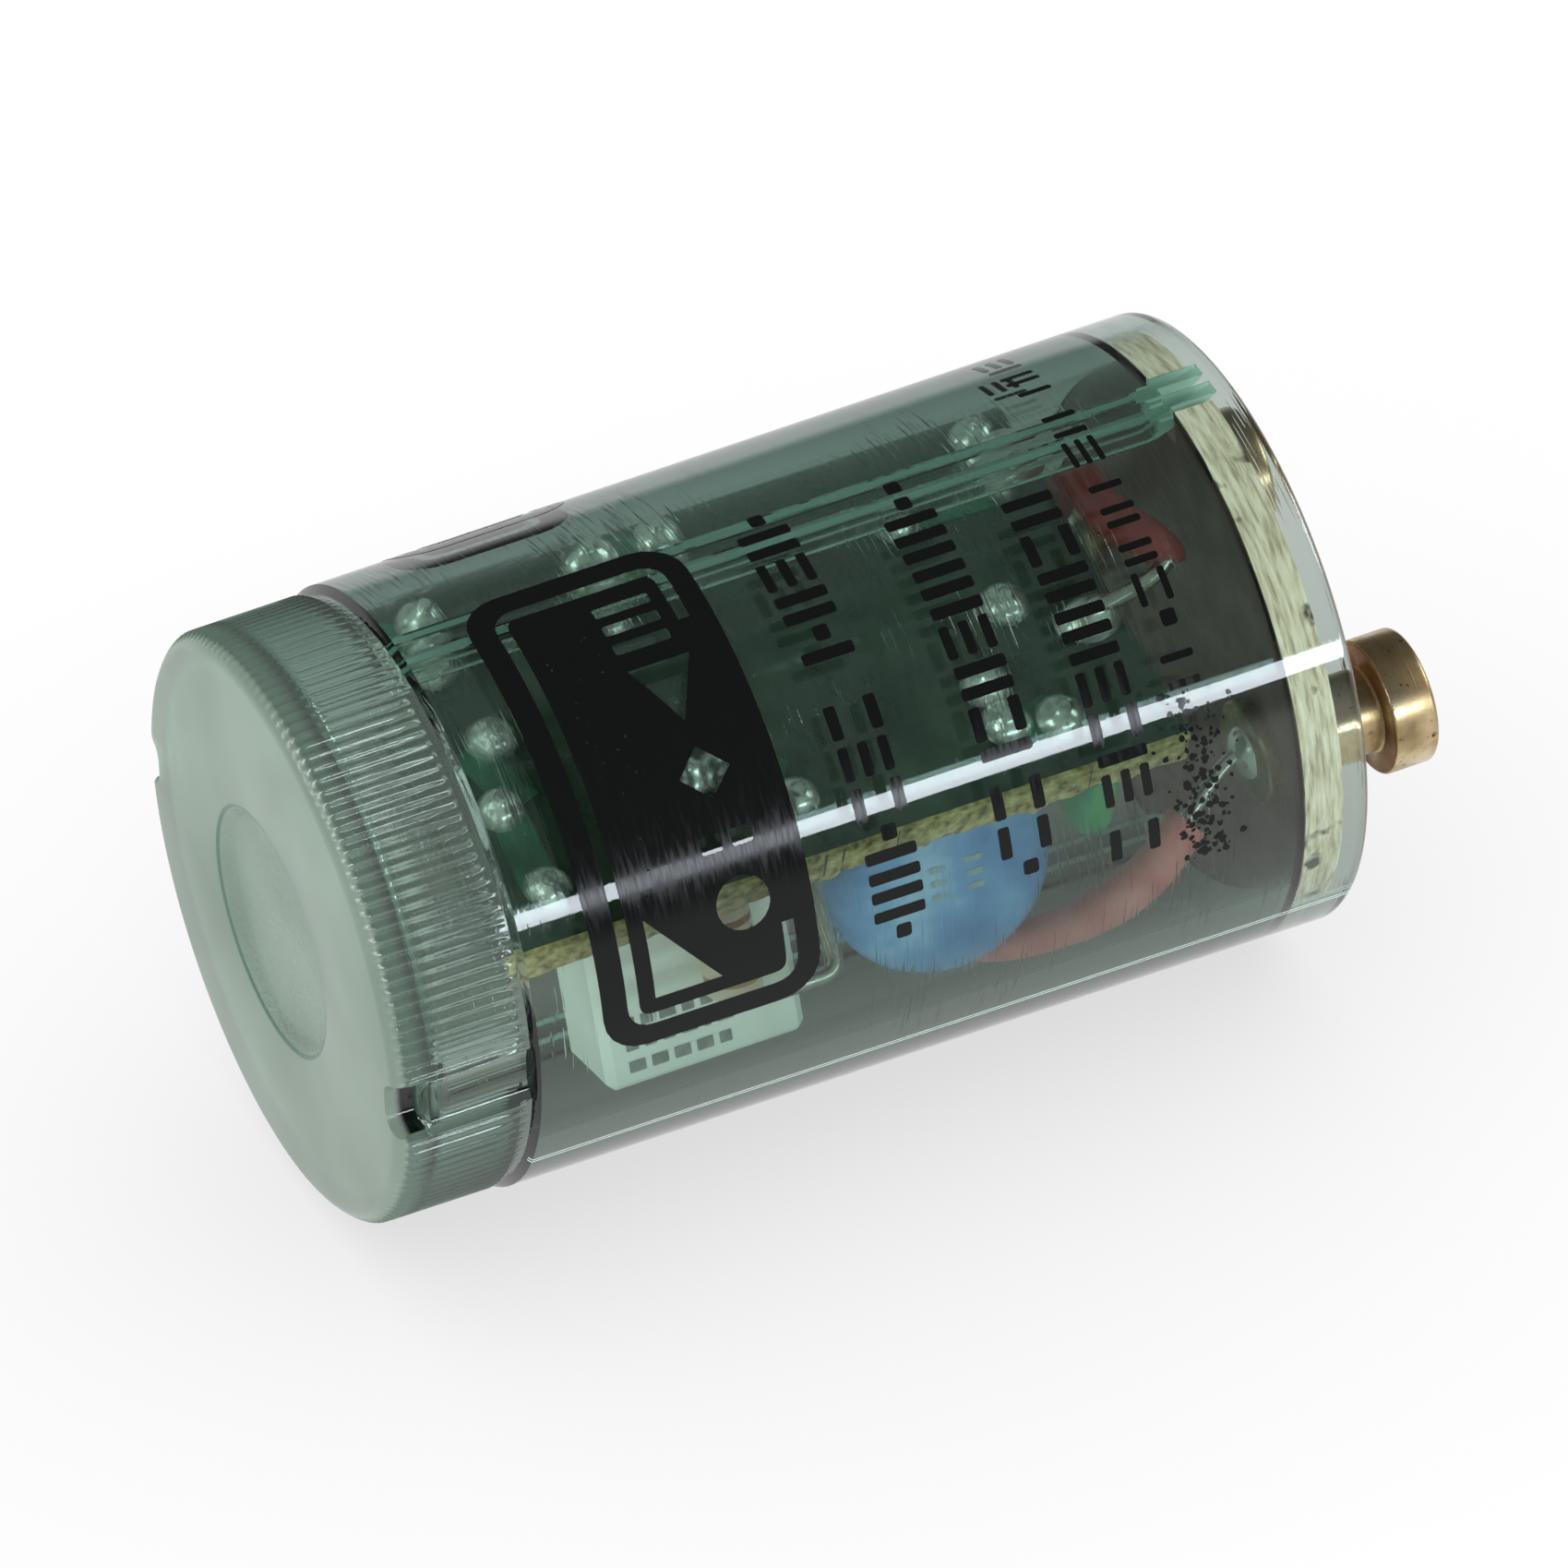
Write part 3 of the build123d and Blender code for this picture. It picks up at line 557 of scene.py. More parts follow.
def turned_brass():
    """Turned brass, handled: brown tarnish in drifts and specks, fine tool marks round it."""
    mat, tree, shader, place = material("turned_brass", Metallic=1.0)
    drift = add(tree, "ShaderNodeTexNoise", {"Vector": place, "Scale": 1 / (1.5 * MM), "Detail": 5.0})[0]
    worn = [(0.32, "8d785a"), (0.5, "bda67c"), (0.68, "e2d1aa")]
    color = add(tree, "ShaderNodeValToRGB", {"Fac": drift}, worn)[0]
    specks = add(tree, "ShaderNodeTexNoise", {"Vector": place, "Scale": 1 / (0.22 * MM), "Detail": 3.0})[0]
    specks = add(tree, "ShaderNodeMapRange", {"Value": specks, "From Min": 0.65, "From Max": 0.75})[0]
    color = add(tree, "ShaderNodeMix", {0: specks, 6: color, 7: "4a3a24"}, data_type="RGBA")[2]
    ends = {"From Min": 0.3, "From Max": 0.7, "To Min": 0.42, "To Max": 0.22}
    rough = add(tree, "ShaderNodeMapRange", {"Value": drift, **ends})[0]
    # Tool marks 0.08 mm apart up the pin
    spread = add(tree, "ShaderNodeVectorMath", {0: place, 1: (300, 300, 13000)}, operation="MULTIPLY")[0]
    tool = add(tree, "ShaderNodeTexNoise", {"Vector": spread, "Scale": 1.0, "Detail": 2.0})[0]
    normal = add(tree, "ShaderNodeBump", {"Height": tool, "Strength": 0.4, "Distance": 0.02 * MM})[0]
    plug(tree, shader, {"Base Color": color, "Roughness": rough, "Normal": normal})
    return mat


def moulded_case():
    """Moulded thermoplastic case, off-white, satin and faintly uneven."""
    shades = [(0.3, "efeee6"), (0.7, "fcfbf5")]
    mat, tree, shader, place = uneven("off_white_moulded_case", shades, 2.5, 3.0, Roughness=0.4)
    rippled(tree, shader, place, 0.3, 3.0, 0.2, 0.02)
    return mat


def dipped_epoxy(name, shades, roughness):
    """Epoxy dip: glossy and uneven in depth, so its colour drifts and its face has shallow waves."""
    mat, tree, shader, place = uneven(name, shades, 2.4, 3.0, Roughness=roughness, Coat_Weight=0.3)
    rippled(tree, shader, place, 1.2, 2.0, 0.3, 0.08)
    return mat


def ringed_lacquer(name, base, axis, rings, roughness=0.35):
    """Lacquer with painted rings across an axis: (start, end, hex colour), along it in millimetres."""
    mat, tree, shader, place = material(name, Roughness=roughness)
    along = add(tree, "ShaderNodeVectorMath", {0: place, 1: axis}, operation="DOT_PRODUCT")["Value"]
    drift = add(tree, "ShaderNodeTexNoise", {"Vector": place, "Scale": 1 / (0.8 * MM), "Detail": 3.0})[0]
    color = add(tree, "ShaderNodeValToRGB", {"Fac": drift}, [(0.3, base[0]), (0.7, base[1])])[0]
    for start, end, code in rings:
        middle = (start + end) / 2 * MM
        ring = {0: along, 1: middle, 2: (end - start) / 2 * MM}
        ring = add(tree, "ShaderNodeMath", ring, operation="COMPARE")[0]
        color = add(tree, "ShaderNodeMix", {0: ring, 6: color, 7: code}, data_type="RGBA")[2]
    plug(tree, shader, {"Base Color": color})
    rippled(tree, shader, place, 0.4, 3.0, 0.15, 0.03)
    return mat


def extruded_pvc(name, shades):
    """Soft PVC insulation, extruded: satin and slightly uneven."""
    return uneven(name, shades, 1.5, 3.0, Roughness=0.45)[0]


def broken_laminate():
    """Broken edge of the laminate: pale yellow fibres, brown in the hollows."""
    mat, tree, shader, place = material("broken_laminate_edge", Roughness=0.8)
    fibres = add(tree, "ShaderNodeTexNoise", {"Vector": place, "Scale": 1 / (0.35 * MM), "Detail": 5.0})[0]
    shades = [(0.3, "6b5a34"), (0.5, "b8a468"), (0.7, "e0cf98")]
    color = add(tree, "ShaderNodeValToRGB", {"Fac": fibres}, shades)[0]
    normal = add(tree, "ShaderNodeBump", {"Height": fibres, "Strength": 0.8, "Distance": 0.08 * MM})[0]
    plug(tree, shader, {"Base Color": color, "Normal": normal})
    return mat


def stamping_ink(name, shades):
    """Stamped ink, thin and broken: matt, its strength drifts."""
    return uneven(name, shades, 0.4, 3.0, Roughness=0.5)[0]


def canister_rows():
    """Half outline of the canister as (radius, height, part) rows, from the dimple round to the floor."""
    rows = [(r, DIMPLE_DEPTH, "end") for r in (0.001, 2.0, DIMPLE - DIMPLE_LEDGE - 0.05)]
    rows += [(DIMPLE - DIMPLE_LEDGE + 0.1, DIMPLE_DEPTH - 0.05, "end"), (DIMPLE - 0.1, 0.06, "end")]
    rows += [(DIMPLE + 0.1, 0, "end"), (7.0, 0, "end")]
    foot = outer(0) - BAND_INSET
    rows += [(r, z, "band") for r, z in arc_points(foot - SHOULDER, SHOULDER, SHOULDER, -90, 0, 8)]
    heights = (0.8, 1.0, 1.1, 1.2, 1.3, 2.5, 3.5, RIB_TOP - 0.2, RIB_TOP, BAND)
    rows += [(outer(z) - BAND_INSET, z, "band") for z in heights]
    rows += [(outer(z) - BAND_INSET * (1 - share), z, "outer") for z, share in STEP]
    low, high = BAND + 0.2, LENGTH - LIP
    rows += [(outer(low + (high - low) * i / 8), low + (high - low) * i / 8, "outer") for i in range(1, 9)]
    rows += [(r, z, "outer") for r, z in arc_points(outer(LENGTH) - LIP, high, LIP, 0, 90, 6)[1:]]
    rows += [(SEAT_R + 0.12, LENGTH, "inner"), (SEAT_R, LENGTH - 0.12, "inner")]
    rows += [(SEAT_R, z, "inner") for z in (GUIDE_TOP + 0.02, GUIDE_TOP, 34.0, 33.5, SEAT_Z)]
    heights = (SEAT_Z, 32.2, 28, 22, 16, 10, GUIDE_BOTTOM, GUIDE_BOTTOM - 0.02, 3.5)
    rows += [(INNER, z, "inner") for z in heights]
    rows += [(r, z, "inner") for r, z in arc_points(INNER - 0.6, FLOOR + 0.6, 0.6, 0, -90, 6)]
    return rows + [(4.0, FLOOR, "inner"), (0.001, FLOOR, "inner")]


def notch_limit(y, z):
    """How far out the wall may reach in a notch: deeper at its foot, its corners rounded."""
    rise = min(1.0, max(0.0, (z - 1.0) / 0.3))
    limit = NOTCH_FOOT_R + (NOTCH_R - NOTCH_FOOT_R) * rise
    return limit + (NOTCH_RIM_R - limit) * (abs(y) / NOTCH_HALF) ** 4


def guide_reach(z):
    """Inner radius of the guide ribs, which run out at their top end."""
    run_out = min(1.0, max(0.0, (z - GUIDE_RUN_OUT) / (GUIDE_TOP - GUIDE_RUN_OUT)))
    return GUIDE_R + (BASE_R - GUIDE_R) * run_out


def shaped(r, z, part, angle):
    """One point of the canister's skin, with its grip ribs, notches and guide ribs."""
    if part == "band" and z < BAND:
        grow = min(1.0, max(0.0, (z - 0.15) / 0.4))
        if z > RIB_TOP - 0.1:
            grow = 0.0
        r += RIB_HEIGHT * (0.5 - 0.5 * math.cos(RIBS * angle)) * grow
    x, y = r * math.cos(angle), r * math.sin(angle)
    if part == "band" and abs(y) < NOTCH_HALF:
        limit = notch_limit(y, z)
        x = max(-limit, min(limit, x))
    reach = guide_reach(z)
    if part == "inner" and GUIDE_BOTTOM <= z <= GUIDE_TOP and r > reach:
        for side in (GUIDE_ANGLE, GUIDE_ANGLE + 180):
            a = math.radians(side)
            along, across = x * math.cos(a) + y * math.sin(a), -x * math.sin(a) + y * math.cos(a)
            if along > 0 and abs(abs(across) - GUIDE_SPACING / 2) < GUIDE_WIDTH / 2:
                x, y = reach * math.cos(a) - across * math.sin(a), reach * math.sin(a) + across * math.cos(a)
    return x, y


def make_canister():
    """One turned skin of 8 steps a rib, moved in for what is cut and moulded."""
    steps = RIBS * 8
    rows = canister_rows()
    verts = []
    for r, z, part in rows:
        for k in range(steps):
            x, y = shaped(r, z, part, 2 * math.pi * k / steps)
            verts.append((x, y, z))
    faces = ringed(len(rows), steps, closed=False)
    plastic = clear_green_polycarbonate()
    mesh_object("canister_skin", verts, faces, plastic, "clear_green_plastic", 35, ["canister"])


def panel_loops(rng):
    """Large framed label: border, thin clear line, and a dark field with plain cut-out shapes."""
    x0, x1, y0, y1 = -17.25, 0.0, 7.3, 15.1
    field = [rect(x0, x1, y0, y1, 1.5)]
    line = [(x0 + 3.4, y1 - 1.0), (x0 + 1.05, y1 - 1.0), (x0 + 1.05, y0 + 1.1), (x1 - 1.0, y0 + 1.1)]
    line += [(x1 - 1.0, y1 - 1.0), (x1 - 3.0, y1 - 1.0)]
    field.append(stroke(line, 0.42))
    for x in (-15.3, -14.5, -13.7):
        field.append(rect(x, x + 0.42, 11.4, 13.4, 0.1))
    field.append([(-12.6, 11.5), (-12.6, 13.7), (-10.4, 12.6)])
    field.append([(-9.5, 12.6), (-8.6, 11.7), (-7.7, 12.6), (-8.6, 13.5)])
    for y in (11.7, 12.8):
        field.append(rect(-6.6, -6.0, y, y + 0.75, 0.1))
    field.append(arc_points(-4.1, 12.7, 0.95, 0, 345, 23))
    field.append([(-4.6, 9.2), (-1.75, 9.2), (-1.75, 11.6)])
    for _ in range(26):
        field.append(blot(rng.uniform(-14.5, -5), rng.uniform(9.1, 10.9), rng.uniform(0.02, 0.06), rng))
    return field


def mark_row(rng, start, end, y, height, fat):
    """Row of plain marks as dense as print: pairs of bars, dashes one over another, and dots."""
    loops = []
    x = start
    while x < end - 1.2:
        kind = rng.choice(("bars", "bars", "dashes", "three", "bar", "dot", "gap"))
        wide = 1.15
        if kind == "bars":
            for shift in (0.0, wide - fat):
                loops.append(rect(x + shift, x + shift + fat, y, y + height, 0.1))
        elif kind == "dashes":
            for rise in (0.0, height - fat):
                loops.append(rect(x, x + wide, y + rise, y + rise + fat, 0.1))
        elif kind == "three":
            for rise in (0.0, (height - fat) / 2, height - fat):
                loops.append(rect(x, x + wide, y + rise, y + rise + fat * 0.85, 0.1))
        elif kind == "bar":
            wide = fat
            loops.append(rect(x, x + fat, y, y + height, 0.1))
        elif kind == "dot":
            wide = 0.55
            loops.append(rect(x, x + wide, y + height * 0.4, y + height * 0.4 + wide, 0.12))
        else:
            wide = 0.35
        x += wide + 0.26
    return loops


def make_print():
    """All the ink on the wall: label, second label behind, rows of marks, and a worn row."""
    rng = random.Random(11)
    ink = printing_ink()
    mesh_object("printed_panel", *filled(panel_loops(rng), on_wall), ink)
    rear = [rect(-35.5, -22.3, 7.7, 14.0, 1.5), rect(-34.6, -23.2, 8.6, 13.1, 0.8)]
    rear.append(rect(-34.2, -23.6, 9.0, 12.7, 0.6))
    mesh_object("printed_panel_rear", *filled(rear, on_wall), ink)
    degree = PRINT_R * math.pi / 180
    parts = []
    for start, end, y, height, fat in PRINT_ROWS:
        for loop in mark_row(rng, start * degree, end * degree, y, height, fat):
            parts.append(filled([loop], on_wall))
    # Worn row: what is left of it is specks
    for _ in range(190):
        x = rng.uniform(-34, -1) * degree
        y = rng.gauss(29.2, 0.5)
        parts.append(filled([blot(x, y, rng.uniform(0.03, 0.14), rng)], on_wall))
    mesh_object("printed_rows", *joined(parts), ink)


def make_solder(mat):
    """Smooth drops on the pads, each with a lead end standing out, and on the riveted pin ends."""
    rng = random.Random(3)
    parts = []
    for name, place in JOINTS.items():
        r = rng.uniform(0.78, 0.9)
        tall = rng.uniform(0.62, 0.78)
        profile = [(r * wide, tall * high) for wide, high in DROP]
        profile += [(0.24, tall + 0.08), (0.2, tall + 0.14), (0.02, tall + 0.16)]
        lean = (rng.uniform(-0.2, 0.2), rng.uniform(-0.2, 0.2))
        stand = rotation(*BOARD_AXES, at_board(place, -TRACK))
        verts, faces = lathe(profile, 32)
        run = RUN_OUT.get(name, 1.0)
        verts = [stand @ Vector((v.x + lean[0] * v.z, v.y * run + lean[1] * v.z, v.z)) for v in verts]
        parts.append((verts, faces))
    mesh_object("board_solder_drops", *joined(parts), mat, "solder", 40, ["board_solder"])
    profile = [(0.9, 0.0), (0.86, 0.1), (0.7, 0.25), (0.5, 0.36), (0.3, 0.42), (0.02, 0.44)]
    stands = [rotation((1, 0, 0), (0, -1, 0), (0, 0, -1), (x, 0, PIN_FOOT)) for x in (-PIN_X, PIN_X)]
    parts = [lathe(profile, 32, stand) for stand in stands]
    mesh_object("pin_solder_drops", *joined(parts), mat, "solder", 40, ["pin_solder"])


def foot(joint):
    """Last points of a lead: behind the board, and at its solder face."""
    return [at_board(JOINTS[joint], BOARD_THICKNESS + LEAD_CLEAR), at_board(JOINTS[joint], 0)]


def at_film(x, z, out):
    """Point in the film capacitor's leaning plane."""
    return FILM_AXES[0] * x + FILM_AXES[1] * z + FILM_AXES[2] * out


def lead_routes():
    """Every lead's bends, as the CAD has them."""
    routes = {
        "film_capacitor_leads": [
            [at_film(-0.5, 9.7, 4.25)] + foot("film_low"),
            [at_film(-0.5, 14.5, 4.25)] + foot("film_high"),
        ],
        "disc_capacitor_leads": [
            [disc_point(DISC_RADIUS * (0.08 - math.sqrt(1 - rise**2)), DISC_RADIUS * rise, 0)] + foot(joint)
            for joint, rise in (("disc_low", -0.6), ("disc_high", 0.2))
        ],
        "green_capacitor_leads": [
            [at_board((3.3, GREEN_UP), 2.25)] + foot("green_left"),
            [at_board((5.5, GREEN_UP), 2.25)] + foot("green_right"),
        ],
        "upright_resistor_leads": [
            [at_film(0.5, 13.0, RESISTOR_OUT), at_film(-0.1, 13.0, RESISTOR_OUT)] + foot("upright_low"),
            [at_film(x, z, RESISTOR_OUT) for x, z in ((3.7, 13.0), (4.3, 13.0), (4.3, 16.75))]
            + [at_board((3.1, 16.75), 3.0)] + foot("upright_high"),
        ],
        "zener_diode_leads": [
            [at_board(JOINTS[joint], depth) for joint, depth in ZENER_ROUTE],
        ],
        "thyristor_leads": [
            [at_board(JOINTS[name], depth) for depth in (3.0, 0)]
            for name in ("thyristor_1", "thyristor_2", "thyristor_3")
        ],
    }
    for low, high, depth, node in FLAT_PARTS:
        bends = ((low, 0), (low, depth), (high, depth), (high, 0))
        routes[node] = [[at_board(JOINTS[joint], deep) for joint, deep in bends]]
    return routes


def make_leads(mat):
    """Bent leads along the CAD routes."""
    for node, paths in lead_routes().items():
        leads = joined([tube(bent(path), LEAD, 12) for path in paths])
        mesh_object(node + "_bent", *leads, mat, "tinned_copper", 50, [node])


def make_wire(name, points, strand, sleeve):
    """Insulated wire: its strand along the whole route, its sleeve stripped at the ends."""
    path = smooth(points, 12)
    mesh_object(name + "_strand", *tube(path, STRAND, 12), strand, "tinned_copper", 50, [name + "_core"])
    first, last = len(path) // 10, len(path) - len(path) // 5
    parts = tube(path[first:last], SLEEVE, 20)
    mesh_object(name + "_sleeve", *parts, sleeve, "red_insulation", 50, [name + "_insulation"])


def make_wires(strand):
    """Wire A runs behind the disc capacitor; wire B comes over the end of the board to its face."""
    points = [(PIN_X, 0, 36), (PIN_X, 0, 32.25), (7.4, 2.6, 28.6), (6.7, 4.8, 25.8), (4.5, 6.8, 23.6)]
    points += [(1.6, 5.6, 22.6)] + [at_board(JOINTS["wire_a"], depth) for depth in (3.0, 0, -2)]
    # Wire A's red insulation is painted paler and pinker: painted light
    make_wire("wire_a", points, strand, extruded_pvc("red_pvc_painted_light", [(0.3, "d86a64"), (0.7, "f29690")]))
    points = [(-PIN_X, 0, 36), (-PIN_X, 0, 32.25), (-4.0, -4.9, 30.9), (-0.6, -7.3, 30.0), (1.8, -7.6, 29.9)]
    points += [(3.7, -6.7, 31.0), at_board(JOINTS["wire_b"], -0.47), at_board((2.1, 26.0), -0.47)]
    # Wire B's is the same insulation painted darker: painted shade
    make_wire("wire_b", points, strand, extruded_pvc("red_pvc_painted_shade", [(0.3, "842a2c"), (0.7, "a33a38")]))


def disc_point(x, y, out):
    """Point on the disc capacitor, from its centre."""
    shifts = zip(DISC_AXES, DISC_CENTRE, (x, y, out))
    return sum((axis * (middle + shift) for axis, middle, shift in shifts), Vector())


def make_disc_capacitor():
    """Round dipped body, its edge full and its faces a little crowned, with pale stamped dashes."""
    half = [(0.02, 1.5), (1.6, 1.49), (2.7, 1.4), (3.3, 1.2), (3.75, 0.85), (3.98, 0.4), (DISC_RADIUS, 0.0)]
    profile = [(r, -h) for r, h in half] + [(r, h) for r, h in half[-2::-1]]
    body = lathe(profile, 72, rotation(*DISC_AXES, disc_point(0, 0, 0)))
    blue = dipped_epoxy("blue_epoxy_dip", [(0.3, "4680be"), (0.55, "74a8de"), (0.75, "a8cdf0")], 0.35)
    mesh_object("disc_capacitor_body", *body, blue, "blue_coating", 60, ["disc_capacitor"])
    pale = stamping_ink("pale_stamping_ink", [(0.4, "8fa9b8"), (0.6, "a9b3a8")])
    dashes = [rect(x, x + 0.22, y, y + 0.6, 0.05) for y in (-0.9, 0.4) for x in (-0.6, -0.1, 0.4)]
    marks = joined([filled([dash], lambda x, y: disc_point(x, y, DISC_FACE)) for dash in dashes])
    mesh_object("disc_capacitor_marks", *marks, pale)


def make_film_capacitor():
    """Case from the CAD, and rows of grey dashes stamped on its face."""
    dress("film_capacitor", moulded_case())
    grey = stamping_ink("grey_stamping_ink", [(0.35, "6a716b"), (0.7, "959c94")])
    rng = random.Random(8)
    dashes = []
    for row in range(3):
        y = 9.3
        while y < 13.6 - row * 0.4:
            tall = rng.choice((0.25, 0.45, 0.45, 0.6))
            dashes.append(rect(4.1 + row * 0.75, 4.5 + row * 0.75, y, y + tall, 0.04))
            y += tall + 0.22
    marks = joined([filled([dash], lambda x, y: at_film(x, y, FILM_FACE)) for dash in dashes])
    mesh_object("film_capacitor_marks", *marks, grey)


def make_green_capacitor():
    """Dipped block with full corners."""
    size = (2.1, 0.675, 2.15)
    stand = rotation(*BOARD_AXES, at_board((4.4, GREEN_UP), 4.05))
    verts = []
    rows, steps = 16, 32
    for i in range(rows + 1):
        v = math.pi * (i / rows - 0.5)
        for k in range(steps):
            u = 2 * math.pi * k / steps
            unit = (math.cos(v) * math.cos(u), math.cos(v) * math.sin(u), math.sin(v))
            full = [size[j] * math.copysign(abs(unit[j]) ** 0.45, unit[j]) for j in range(3)]
            verts.append(stand @ Vector(full))
    faces = ringed(rows + 1, steps, closed=False)
    green = dipped_epoxy("green_epoxy_dip", [(0.3, "2f8a52"), (0.7, "4cb070")], 0.3)
    mesh_object("green_capacitor_body", verts, faces, green, "green_coating", 60, ["green_capacitor"])


def make_board_edge():
    """Ragged pale edge of the laminate, down the side of the board."""
    across, up, out = BOARD_AXES
    verts = []
    steps = 200
    for i in range(steps + 1):
        z = BOARD_BOTTOM + 0.02 + (BOARD_TOP - BOARD_BOTTOM - 0.04) * i / steps
        rough = noise.noise((z * 0.9, 0, 0)) + 0.4 * noise.noise((z * 4, 3, 0))
        side = BOARD_HALF + 0.02 + 0.05 * noise.noise((z * 3, 7, 0))
        front = 0.03 + 0.03 * rough
        back = BOARD_THICKNESS + 0.1 + 0.35 * rough
        ring = ((BOARD_HALF - 0.12, -front), (side, -front * 0.5), (side, back), (BOARD_HALF - 0.3, back))
        verts += [across * s + up * z + out * (BOARD_OFFSET - depth) for s, depth in ring]
    mesh_object("board_broken_edge", verts, ringed(steps + 1, 4), broken_laminate(), "green_laminate", 20)


def make_pins():
    """Turned pins with rubbed edges."""
    brass = turned_brass()
    foot, head, top = PIN_FOOT, 37.3, 38.94
    profile = [(0.02, foot), (1.65, foot), (1.75, foot + 0.1), (1.75, SEAT_Z), (1.1, SEAT_Z)]
    profile += [(1.1, 34.45), (1.5, 34.45)]
    profile += [(1.5, head - 0.12), (1.56, head - 0.03), (1.7, head), (2.2, head)]
    profile += arc_points(2.35 - 0.12, head + 0.12, 0.12, -80, 0, 4)
    profile += arc_points(2.35 - 0.16, top - 0.16, 0.16, 0, 90, 5)
    profile += [(1.9, top - 0.015), (0.02, top - 0.03)]
    for x, node in ((PIN_X, "contact_pin_a"), (-PIN_X, "contact_pin_b")):
        pin = lathe(profile, 96, Matrix.Translation((x, 0, 0)))
        mesh_object(node + "_turned", *pin, brass, "brass", 30, [node])


def dress(node, mat):
    """Gives a CAD node one material in all its slots."""
    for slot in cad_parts[node].material_slots:
        slot.link = "OBJECT"
        slot.material = mat


def dress_parts():
    """Finishes of the pieces that keep their CAD forms."""
    dress("circuit_board", green_solder_mask())
    dress("copper_tracks", lacquered_copper())
    dress("base_disc", phenolic_paper())
    black = ("1c1c1e", "262628")
    rings = [(1.0, 1.25, "8a5a2a"), (1.5, 1.75, "3a3a3a"), (2.0, 2.25, "a8843a"), (3.0, 3.25, "b08a3c")]
    beige = ("e0c6a8", "ecd8be")
    dress("upright_resistor", ringed_lacquer("beige_lacquer_resistor", beige, FILM_AXES[0], rings))
    rings = [(9.0, 9.3, "b03a2a"), (9.8, 10.1, "2a2a2a"), (10.6, 10.9, "c8a040"), (11.6, 11.9, "a8843a")]
    brown = ("9a6a4a", "b07e5c")
    dress("flat_resistor", ringed_lacquer("brown_lacquer_resistor", brown, (0, 0, 1), rings))
    dress("diode_a", ringed_lacquer("black_epoxy_diode_a", black, (0, 0, 1), [(21.2, 21.9, "a9a9a4")]))
    dress("diode_b", ringed_lacquer("black_epoxy_diode_b", black, (0, 0, 1), [(11.6, 12.1, "a9a9a4")]))
    rings = [(0.9, 1.4, "1c1a1a")]
    glass = ("8a4428", "a25a38")
    dress("zener_diode", ringed_lacquer("orange_glass_diode", glass, BOARD_AXES[2], rings, 0.12))
    dress("thyristor", dipped_epoxy("black_epoxy_moulding", [(0.3, "18181a"), (0.7, "232325")], 0.45))


make_canister()
make_print()
make_solder(tin_lead_solder())
tinned = tinned_copper()
make_leads(tinned)
make_wires(tinned)
make_disc_capacitor()
make_film_capacitor()
make_green_capacitor()
make_board_edge()
make_pins()
dress_parts()

# Camera from the fit to the photograph
camera = placed("camera", bpy.data.cameras.new("camera"))
camera.matrix_world = rotation(
    (0.43369343, 0.01745354, 0.90089144),
    (-0.59326162, -0.74699269, 0.30007094),
    (0.67819662, -0.66460311, -0.31361131),
    (0.30307, -0.29599, -0.12138),
)
camera.data.lens = 306.98
camera.data.sensor_width = 36
camera.data.clip_start = 0.01
camera.data.clip_end = 20
scene.camera = camera


# Lamps stand this far from the middle of the object
LAMP_DISTANCE, LAMP_AIM = 300, Vector((0, 0, 18))


def lamp(name, azimuth, elevation, width, height, radiance, code="ffffff"):
    """Area lamp of a given radiance, its height along +Z as far as its aim allows."""
    light = bpy.data.lights.new(name, "AREA")
    light.shape = "RECTANGLE"
    light.size, light.size_y = width * MM, height * MM
    light.color = hexrgb(code)[:3]
    light.energy = radiance * math.pi * light.size * light.size_y
    obj = placed(name, light)
    a, e = math.radians(azimuth), math.radians(elevation)
    toward = Vector((math.cos(a) * math.cos(e), math.sin(a) * math.cos(e), math.sin(e)))
    obj.location = (LAMP_AIM + toward * LAMP_DISTANCE) * MM
    obj.rotation_euler = toward.to_track_quat("Z", "Y").to_euler()
    return obj


lamp("key_strip", -19.7, 16, 30, 320, 13.0, "eef6ff")
lamp("low_softbox", -62, -52, 120, 120, 9.0)
lamp("high_softbox", -74, 56, 130, 100, 8.0)
lamp("end_softbox", -127, -60, 60, 60, 10.0)
lamp("table_bounce", 18, -30, 150, 150, 6.0).visible_glossy = False

# Room: the photograph's table stands beside the object, tangent to it at this azimuth
TABLE_AZIMUTH = 85.6
TABLE_AXES = upright_plane(TABLE_AZIMUTH)


def make_world():
    """White to the camera and, dimmer, through the plastic; reflections see a white table and a dim room."""
    world = bpy.data.worlds.new("white_table_room")
    scene.world = world
    world.use_nodes = True
    tree = world.node_tree
    path = add(tree, "ShaderNodeLightPath")
    way = add(tree, "ShaderNodeTexCoord")["Generated"]
    side = add(tree, "ShaderNodeVectorMath", {0: way, 1: TABLE_AXES[2]}, operation="DOT_PRODUCT")["Value"]
    ends = {"From Min": -0.08, "From Max": 0.08, "To Min": ROOM_LEVEL, "To Max": TABLE_LEVEL}
    room = add(tree, "ShaderNodeMapRange", {"Value": side, **ends}, interpolation_type="SMOOTHSTEP")[0]
    level = add(tree, "ShaderNodeMix", {0: path["Is Glossy Ray"], 2: FILL_LEVEL, 3: room})[0]
    level = add(tree, "ShaderNodeMix", {0: path["Is Transmission Ray"], 2: level, 3: THROUGH_LEVEL})[0]
    level = add(tree, "ShaderNodeMix", {0: path["Is Camera Ray"], 2: level, 3: 1.0})[0]
    plug(tree, tree.nodes["Background"], {"Color": "ffffff", "Strength": level})


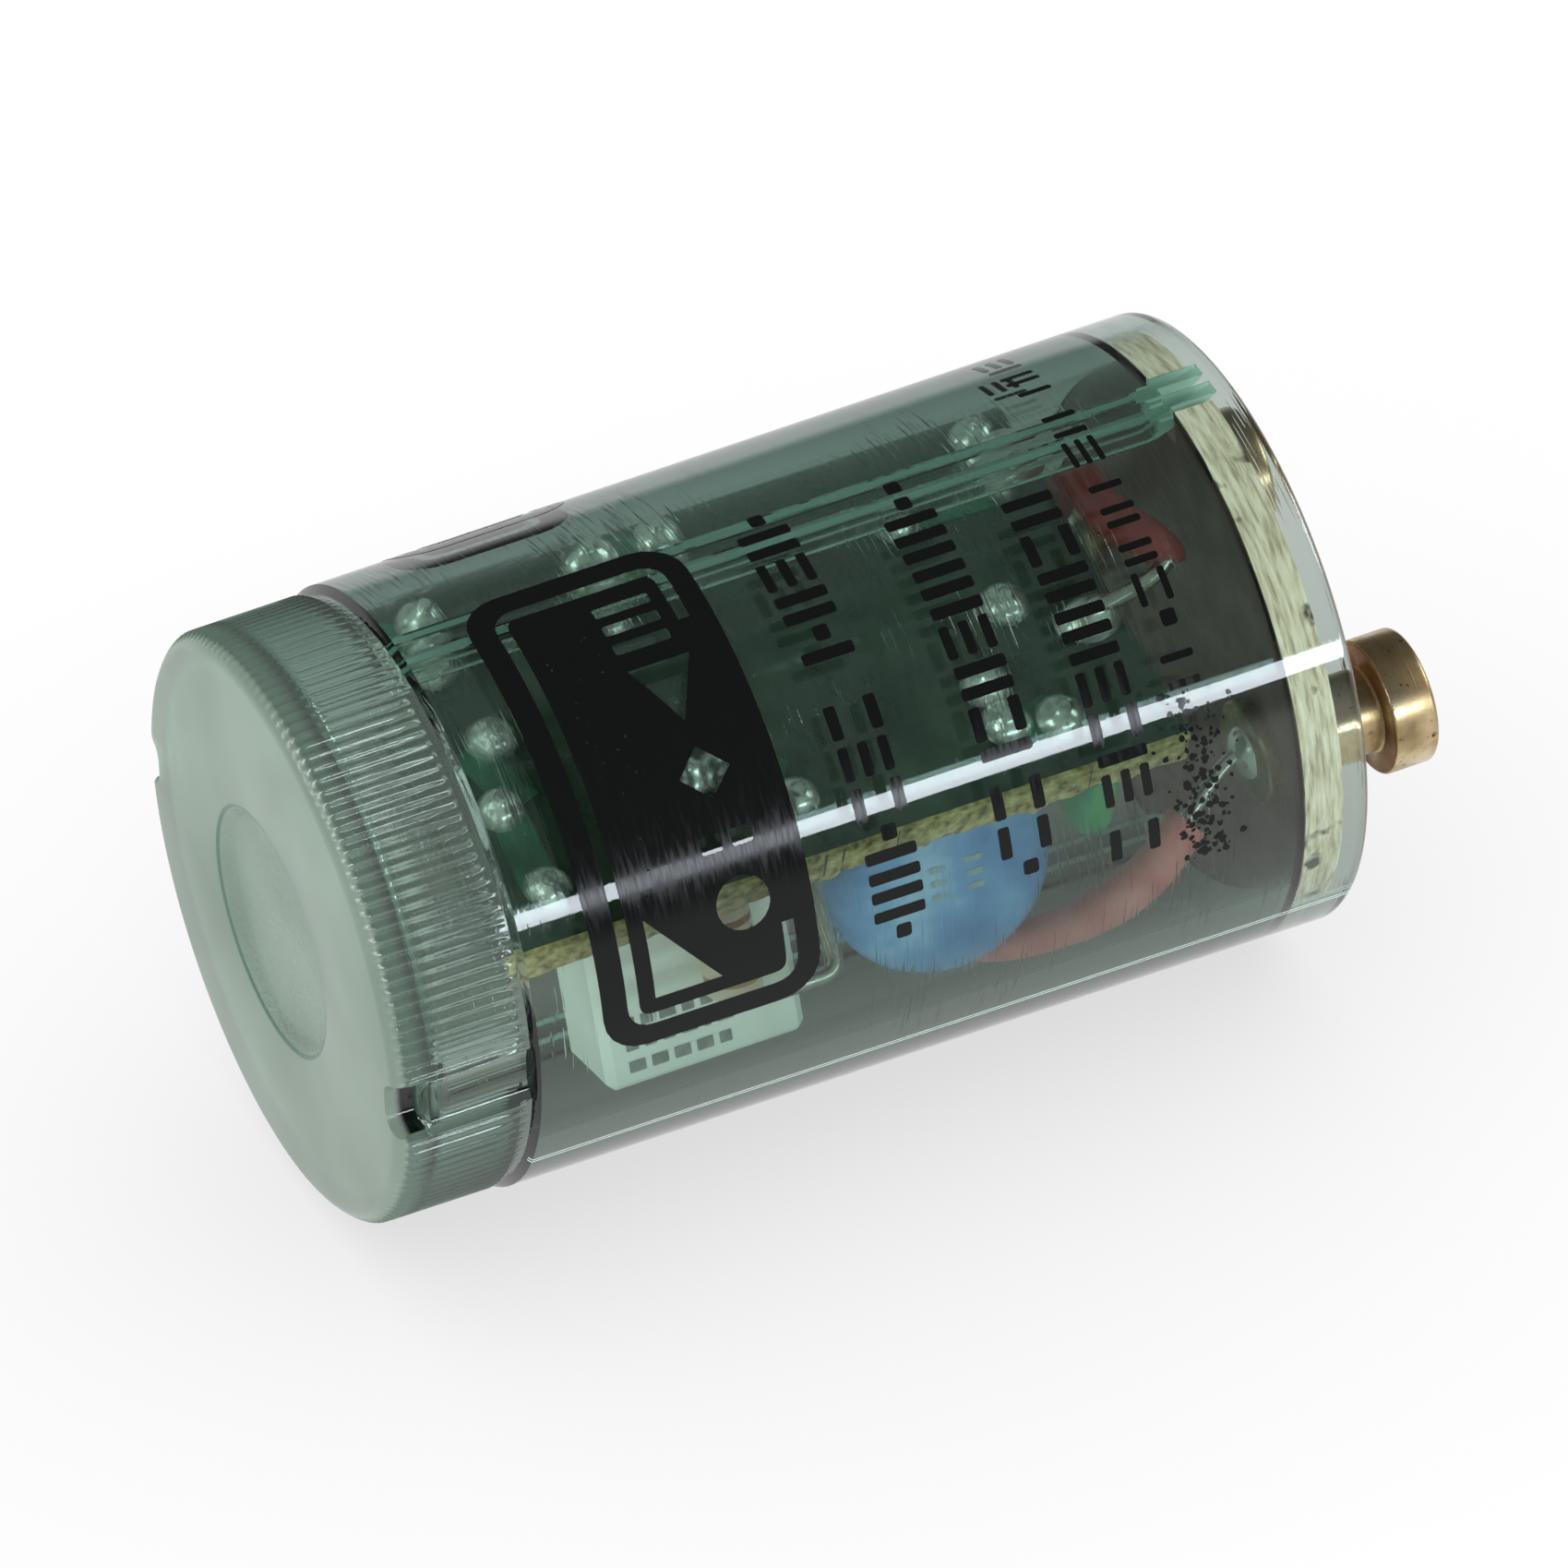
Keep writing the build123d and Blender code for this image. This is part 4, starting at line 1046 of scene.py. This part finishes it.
def stage_sheet(name, corners, shades, through):
    """White sheet seen from its upper side only, with a painted shadow: its glow darkens by ambient
    occlusion, its shades running from near the object to far from it, one ramp for the camera and one for
    what is seen through the plastic.
    """
    mat = bpy.data.materials.new(name)
    mat.use_nodes = True
    tree = mat.node_tree
    tree.nodes.remove(tree.nodes["Principled BSDF"])
    # Painted shadow: the glow's colour comes from ambient occlusion, not from the lamps
    near = add(tree, "ShaderNodeAmbientOcclusion", {"Distance": 26 * MM}, samples=8)["AO"]
    seen = add(tree, "ShaderNodeValToRGB", {"Fac": near}, shades)[0]
    under = add(tree, "ShaderNodeValToRGB", {"Fac": near}, through)[0]
    direct = add(tree, "ShaderNodeLightPath")["Is Camera Ray"]
    color = add(tree, "ShaderNodeMix", {0: direct, 6: under, 7: seen}, data_type="RGBA")[2]
    glow = add(tree, "ShaderNodeEmission", {"Color": color})[0]
    back = add(tree, "ShaderNodeNewGeometry")["Backfacing"]
    clear = add(tree, "ShaderNodeBsdfTransparent")[0]
    surface = add(tree, "ShaderNodeMixShader", {0: back, 1: glow, 2: clear})[0]
    plug(tree, tree.nodes["Material Output"], {"Surface": surface})
    mesh = bpy.data.meshes.new(name)
    mesh.from_pydata([corner * MM for corner in corners], [], [(0, 1, 2, 3)])
    mesh.materials.append(mat)
    obj = placed(name, mesh)
    obj.visible_diffuse = False
    obj.visible_glossy = False
    obj.visible_shadow = False
    return obj


make_world()
corners = [Vector((x, y, -0.03)) for x, y in ((-400, -400), (400, -400), (400, 400), (-400, 400))]
white = [(0.0, "ffffff"), (1.0, "ffffff")]
# The floor's painted shadow: pale grey close to the object, white further off
floor = stage_sheet("pale_floor", corners, [(0.1, "e4e4e4"), (1.0, "ffffff")], white)
floor.visible_transmission = False
across, up, out = TABLE_AXES
middle = out * (MOUTH + 0.05) + up * 18
corners = [middle + across * s + up * t for s, t in ((-150, -150), (-150, 150), (150, 150), (150, -150))]
# The table's painted shadow: light grey to the camera near the object; seen through the plastic, warm grey
# at the contact and pale further off
under = [(0.0, "74716c"), (0.45, "b4b6b1"), (1.0, "ececec")]
stage_sheet("pale_table", corners, [(0.1, "dadada"), (1.0, "ffffff")], under)

scene.view_settings.view_transform = "Standard"
